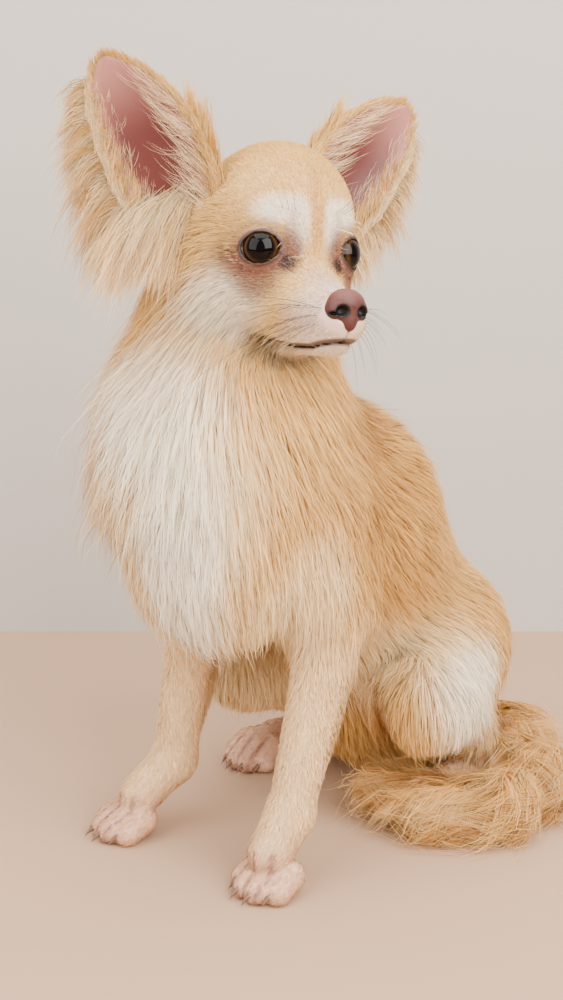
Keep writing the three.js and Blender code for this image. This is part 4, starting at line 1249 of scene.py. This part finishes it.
class ChihuahuaClaws(bpy.types.Operator):
    """Make the claws, four on each paw"""

    bl_idname = "chihuahua.claws"
    bl_label = "Claws"

    def execute(self, context):
        lines_, radii = [], []
        t = np.linspace(0, 1, 9)
        for name in LEGS:
            toe, ahead, across = toe_frame(name)
            for out, back in TOES:
                root = toe + across * out - ahead * (back + 0.5)
                root[2] = 5.4
                rise = np.multiply.outer(9.2 * t, ahead) + np.multiply.outer(-4.9 * t**2 + 1.2 * t, [0, 0, 1.0])
                lines_.append(root + rise)
                radii.append(1.45 * (1 - t**2.2) + 0.08)
        verts, quads = tubes(lines_, radii, 10)
        material, tree = new_material("claw horn")
        horn = add_node(
            tree, "ShaderNodeBsdfPrincipled", Base_Color=(*sizes().claw, 1), Roughness=0.35,
            Subsurface_Weight=0.2, Subsurface_Scale=1.0 * MM,
        )
        add_node(tree, "ShaderNodeOutputMaterial", None, Surface=horn.outputs[0])
        ride(mesh_object("claws", verts, quads, material))
        return {"FINISHED"}


class ChihuahuaWhiskers(bpy.types.Operator):
    """Make the long whiskers of the muzzle and brow"""

    bl_idname = "chihuahua.whiskers"
    bl_label = "Whiskers"

    def execute(self, context):
        rng = np.random.default_rng(41)
        lines_, radii = [], []
        t = np.linspace(0, 1, 10)[:, None] ** 2
        for s in (1, -1):
            for row in range(3):
                for i in range(5):
                    q = np.array([[9.5 * s, -53 + 3.6 * i + row, -24 - 3.0 * row]])
                    n = slope(skull, q)
                    q = q - n * skull(q)[:, None]
                    way = unit(n * 0.75 + (0.25 * s, 0.55, -0.25) + rng.normal(0, 0.12, (1, 3)))
                    long = rng.uniform(20, 38) * (0.7 + 0.1 * i)
                    lines_.append(from_head(q + way * t * long + np.array([0, 0.25, -0.2]) * t**2 * long))
                    radii.append(0.12 * (1 - t[:, 0] * 0.8) + 0.32 * (t[:, 0] < 0.01))
            for i in range(3):
                q = np.array([[(9 + 2.5 * i) * s, -31.0, 12.0]])
                n = slope(skull, q)
                q = q - n * skull(q)[:, None]
                way = unit(n + (0.2 * s, 0.1, 0.5))
                lines_.append(from_head(q + way * t * 16 + np.array([0, 0.3, 0.1]) * t**2 * 16))
                radii.append(0.1 * (1 - t[:, 0] * 0.8))
        verts, quads = tubes(lines_, radii, 5)
        material, tree = new_material("whisker")
        stiff = add_node(tree, "ShaderNodeBsdfPrincipled", None, Base_Color=(*WHISKER, 1), Roughness=0.4)
        add_node(tree, "ShaderNodeOutputMaterial", None, Surface=stiff.outputs[0])
        ride(mesh_object("whiskers", verts, quads, material))
        return {"FINISHED"}


class ChihuahuaHeadCoat(bpy.types.Operator):
    """Make the short hair of the face and the longer hair of the cheeks"""

    bl_idname = "chihuahua.head_coat"
    bl_label = "Head coat"

    def execute(self, context):
        grow("face", head_hair, sizes().fine_width / MM, **COATS["face"])
        grow("cheeks", long_on_head, CHEEK_HAIR, **COATS["cheeks"])
        return {"FINISHED"}


class ChihuahuaBodyCoat(bpy.types.Operator):
    """Make the long hair of the neck, chest, back and flanks"""

    bl_idname = "chihuahua.body_coat"
    bl_label = "Body coat"

    def execute(self, context):
        wide = sizes().hair_width / MM
        grow("neck", by_region(NECK), wide, **COATS["neck"])
        grow("chest", front_half, wide, **COATS["chest"])
        grow("back", back_half, wide, **COATS["back"])
        grow("thighs", thighs, wide * 0.9, **COATS["thighs"])
        return {"FINISHED"}


class ChihuahuaLegCoat(bpy.types.Operator):
    """Make the short hair of the legs and paws"""

    bl_idname = "chihuahua.leg_coat"
    bl_label = "Leg coat"

    def execute(self, context):
        wide = sizes().fine_width / MM * 1.15
        grow("forelegs", by_region(FORE_L, FORE_R), wide, **COATS["forelegs"])
        grow("hind_feet", hind_feet, wide, **COATS["hind_feet"])
        return {"FINISHED"}


class ChihuahuaTailCoat(bpy.types.Operator):
    """Make the plume of the tail"""

    bl_idname = "chihuahua.tail_coat"
    bl_label = "Tail coat"

    def execute(self, context):
        grow("tail", by_region(TAIL_), sizes().hair_width / MM, **COATS["tail"])
        return {"FINISHED"}


# Hair of the ears: hairs on the left and on the right ear, their width, rows, clumps and ruffle
EAR_COATS = dict(
    back=dict(count=(9000, 9000), wide=0.3, rows=2, clumps=2500, wild=0.15),
    rim=dict(count=(3600, 3600), wide=0.2, rows=2, clumps=1300, wild=0.2),
    hollow=dict(count=(620, 620), wide=0.12, rows=4, clumps=420, wild=0.4),
    fringe=dict(count=(1800, 4600), wide=0.22, rows=4, clumps=420, wild=0.32),
    base=dict(count=(1200, 3200), wide=0.22, rows=4, clumps=260, wild=0.22),
    tuft=dict(count=(1100, 1100), wide=0.24, rows=4, clumps=150, wild=0.2),
)


def ear_hair(name, s, picks, count, wide, rows, clumps, wild, seed):
    """Hair on one ear: picks gives each guide's place, ways and length."""
    rng = np.random.default_rng(seed)
    t, w, face_side, way, fall, long, n, colour = picks(rng, clumps)
    half = EAR["thick"] / 2
    root = from_head(np.concatenate([
        ear_point(s, t[i : i + 1], w[i : i + 1], (1 - w[i : i + 1] ** 2) * half * face_side[i])
        for i in range(clumps)
    ]))
    steps = np.linspace(0, 1, STEPS + 1)
    heading = unit(way + rng.normal(0, wild, way.shape))
    path = [root]
    for k in range(1, STEPS + 1):
        mixed = unit(heading * (1 - steps[k]) + fall * steps[k])
        path.append(path[-1] + mixed * (long / STEPS)[:, None])
    paths = np.stack(path, 1)
    near = rng.integers(0, clumps, count)
    jitter = rng.normal(0, 1, (count, 3)) * np.minimum(1.5, long[near] * 0.12)[:, None]
    jitter -= n[near] * (jitter * n[near]).sum(1, keepdims=True)
    loose = rng.normal(0, 1, (count, 1, 3)) * (long[near] * 0.06)[:, None, None]
    ts = steps[None, :, None]
    hair = paths[near] + jitter[:, None] * (1 - 0.6 * ts) + loose * ts**2
    trim = rng.uniform(0.6, 1.05, (count, 1, 1))
    hair = hair[:, :1] + (hair - hair[:, :1]) * trim
    uv = np.stack([
        (3 + (s < 0) * 0.5 + 0.05 + 0.2 * (w[near] + 1)) / TILES, (2.05 + 0.9 * t[near].clip(0, 1)) / TILES,
    ], 1)
    tone = colour[near] * (1 + rng.normal(0, 0.14, (clumps, 1)))[near]
    return coat_object(name, n[near], hair, np.full(count, wide), rows, tone, uv, rng, coat_material())


class ChihuahuaEarCoat(bpy.types.Operator):
    """Make the hair on the backs, rims and hollows of the ears"""

    bl_idname = "chihuahua.ear_coat"
    bl_label = "Ear coat"

    def execute(self, context):
        for s, side in ((1, "left"), (-1, "right")):
            up, out, across = (head_way(v) for v in ear_ways(s))
            down = np.array([0, 0, -1.0])

            def back(rng, k):
                t, w = rng.uniform(0, 0.98, k), rng.uniform(-0.98, 0.98, k)
                way = unit(up - out * 0.25 - across * w[:, None] * 0.5)
                n = np.tile(-out, (k, 1))
                tone = mix(GOLD, LIGHT_FAWN, rng.uniform(0.2, 0.9, (k, 1)))
                fall = unit(up * 0.8 - across * w[:, None] * 0.4)
                return t, w, -np.ones(k), way, fall, 5 + 5 * (1 - t), n, tone

            def rim(rng, k):
                t = rng.uniform(-0.05, 1.0, k)
                w = np.where(rng.random(k) < 0.5, -1, 1) * rng.uniform(0.9, 1.0, k)
                n = np.tile(out, (k, 1))
                way = unit(across * w[:, None] * 0.2 + up * 0.9 + out * 0.2)
                pale = np.where(w[:, None] < 0, CREAM, LIGHT_FAWN)
                tone = mix(pale, GOLD, rng.uniform(0, 0.6, (k, 1)) + 0.4 * ramp(t, 0.6, 1)[:, None])
                fall = unit(up + across * -w[:, None] * 0.4)
                return t, w, np.ones(k), way, fall, 3 + 3 * rng.random(k), n, tone

            def hollow(rng, k):
                t = rng.uniform(-0.1, 0.82, k)
                w = np.where(rng.random(k) < 0.72, 1, -1) * rng.uniform(0.45, 0.95, k)
                way = unit(across * -w[:, None] * 0.8 + up * 0.7 + out * 0.5)
                n = np.tile(out, (k, 1))
                tone = mix(EAR_DOWN, CREAM, rng.uniform(0.2, 1, (k, 1)))
                long = np.where(w > 0, 10 + 13 * rng.random(k), 6 + 5 * rng.random(k)) * (1.1 - 0.5 * t)
                return t, w, np.ones(k), way, unit(way + up * 0.4 - out * 0.2), long, n, tone

            def fringe(rng, k):
                t = rng.uniform(-0.12, 0.86, k)
                w = -rng.uniform(0.84, 1.0, k)
                away = -across + 0 * w[:, None]
                way = unit(away * 0.9 - out * 0.35 + up * 0.25 * ramp(t, 0, 0.5)[:, None])
                fall = unit(away * (0.22 + 0.6 * ramp(t, 0.1, 0.8)[:, None]) + down * 0.9 - out * 0.1)
                long = (42 - 24 * ramp(t, 0.0, 0.9)) * rng.uniform(0.6, 1.1, k) * (1 if s < 0 else 0.7)
                n = np.tile(-out, (k, 1))
                tone = mix(GOLD * 0.85, CREAM, rng.uniform(0.0, 1.0, (k, 1)))
                return t, w, -np.ones(k), way, fall, long, n, tone

            def base(rng, k):
                t = rng.uniform(-0.16, 0.1, k)
                w = rng.uniform(-1.0, 0.35, k)
                lean = rng.uniform(0.2, 0.9, (k, 1))
                way = unit(out * 0.7 - across * lean + down * 0.35)
                fall = unit(down * 0.9 - across * lean * 0.75 + out * 0.1)
                n = np.tile(out, (k, 1))
                tone = mix(GOLD, CREAM, rng.uniform(0.3, 1.0, (k, 1)))
                long = rng.uniform(14, 42, k) * (1 if s < 0 else 0.5)
                return t, w, np.ones(k), way, fall, long, n, tone

            def tuft(rng, k):
                t = rng.uniform(-0.05, 0.5, k)
                w = rng.uniform(0.8, 1.0, k)
                way = unit(up * 0.9 + across * 0.3 - out * 0.2 + 0 * w[:, None])
                n = np.tile(-out, (k, 1))
                tone = mix(GOLD, LIGHT_FAWN, rng.uniform(0, 1, (k, 1)))
                fall = unit(up + across * 0.15 + 0 * w[:, None])
                return t, w, -np.ones(k), way, fall, 9 + 9 * rng.random(k), n, tone

            for picks in (back, rim, hollow, fringe, base, tuft):
                part = picks.__name__
                size = dict(EAR_COATS[part])
                size["count"] = size["count"][s < 0]
                ear_hair(f"coat_ear_{side}_{part}", s, picks, seed=50 + s, **size)
        return {"FINISHED"}


def area_light(name, place, target, size, power, colour):
    data = bpy.data.lights.new(name, "AREA")
    data.shape, data.size, data.energy, data.color = "SQUARE", size, power, colour
    light = bpy.data.objects.new(name, data)
    light.location = place
    light.rotation_euler = (Vector(target) - Vector(place)).to_track_quat("-Z", "Y").to_euler()
    bpy.context.scene.collection.objects.link(light)
    light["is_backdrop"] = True


# The camera's turn from the front, distance, height, downward tilt in degrees, lens and sensor
CAMERA = dict(azimuth=38, away=600, high=290, tilt=13.4, lens=53.28, sensor=36.0)
WALL_AWAY = 868
FAR = 3000
FLOOR_TONE = rgb("B49377")
WALL_TONE = rgb("BEB7AF")
# Each light: right of, behind and over the dog as the camera sees it, side in metres, watts and colour
LIGHTS = {
    "key light": ((480, -640, 680), 0.9, 25.0, (1.0, 0.96, 0.9)),
    "fill light": ((-700, -500, 600), 1.0, 13.0, (1.0, 0.98, 0.96)),
    "top light": ((0, 60, 1100), 1.1, 21.0, (1.0, 0.98, 0.96)),
}
DAYLIGHT = (1.0, 0.98, 0.96, 1)


class ChihuahuaStage(bpy.types.Operator):
    """Make the pale floor and wall, the soft studio light and the camera"""

    bl_idname = "chihuahua.stage"
    bl_label = "Stage"

    def execute(self, context):
        azimuth = math.radians(CAMERA["azimuth"])
        away = np.array([-math.sin(azimuth), math.cos(azimuth), 0])
        beside = np.array([math.cos(azimuth), math.sin(azimuth), 0])
        eye = -away * CAMERA["away"] + (0, 0, CAMERA["high"])
        wall_at = eye + away * WALL_AWAY
        wall_at[2] = 0
        left, right = wall_at - beside * FAR, wall_at + beside * FAR
        floor = [left, right, right - away * FAR, left - away * FAR]
        wall = [left, right, right + (0, 0, FAR), left + (0, 0, FAR)]
        for name, corners, tone in (("floor", floor, FLOOR_TONE), ("wall", wall, WALL_TONE)):
            material, tree = new_material(name)
            plain = add_node(tree, "ShaderNodeBsdfPrincipled", None, Base_Color=(*tone, 1), Roughness=0.8)
            add_node(tree, "ShaderNodeOutputMaterial", None, Surface=plain.outputs[0])
            mesh_object(name, np.array(corners), [[0, 1, 2, 3]], material, smooth=False)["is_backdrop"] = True
        shift = Vector(SHIFT * MM)
        target = Vector((0, 0, 0.15)) + shift
        for name, ((aside, back, high), size, power, colour) in LIGHTS.items():
            place = Vector((beside * aside + away * back) * MM) + Vector((0, 0, high * MM)) + shift
            area_light(name, place, target, size, power, colour)
        world = bpy.data.worlds.new("studio")
        world.use_nodes = True
        world.node_tree.nodes["Background"].inputs["Color"].default_value = DAYLIGHT
        world.node_tree.nodes["Background"].inputs["Strength"].default_value = 0.55
        bpy.context.scene.world = world
        data = bpy.data.cameras.new("camera")
        data.sensor_width, data.lens = CAMERA["sensor"], CAMERA["lens"]
        data.clip_start, data.clip_end = 0.02, 20.0
        camera = bpy.data.objects.new("camera", data)
        camera.location = Vector(eye * MM) + shift
        camera.rotation_euler = (math.radians(90 - CAMERA["tilt"]), 0, azimuth)
        bpy.context.scene.collection.objects.link(camera)
        bpy.context.scene.camera = camera
        return {"FINISHED"}


OPERATORS = [
    ChihuahuaSkin, ChihuahuaEyes, ChihuahuaNose, ChihuahuaClaws, ChihuahuaWhiskers, ChihuahuaHeadCoat,
    ChihuahuaBodyCoat, ChihuahuaLegCoat, ChihuahuaTailCoat, ChihuahuaEarCoat, ChihuahuaStage,
]


class ChihuahuaPanel(bpy.types.Panel):
    """The chihuahua's sizes, and a button for each of its pieces"""

    bl_idname = "VIEW3D_PT_chihuahua"
    bl_label = "Chihuahua"
    bl_space_type = "VIEW_3D"
    bl_region_type = "UI"
    bl_category = "Chihuahua"

    def draw(self, context):
        for name in ChihuahuaSizes.__annotations__:
            self.layout.prop(context.scene.chihuahua, name)
        for one in OPERATORS:
            self.layout.operator(one.bl_idname)


CLASSES = [ChihuahuaSizes, *OPERATORS, ChihuahuaPanel]


def register():
    for one in CLASSES:
        bpy.utils.register_class(one)
    bpy.types.Scene.chihuahua = bpy.props.PointerProperty(type=ChihuahuaSizes)


def unregister():
    del bpy.types.Scene.chihuahua
    for one in reversed(CLASSES):
        bpy.utils.unregister_class(one)


def main():
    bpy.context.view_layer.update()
    register()
    for one in OPERATORS:
        group, name = one.bl_idname.split(".")
        getattr(getattr(bpy.ops, group), name)()


if __name__ == "__main__":
    main()
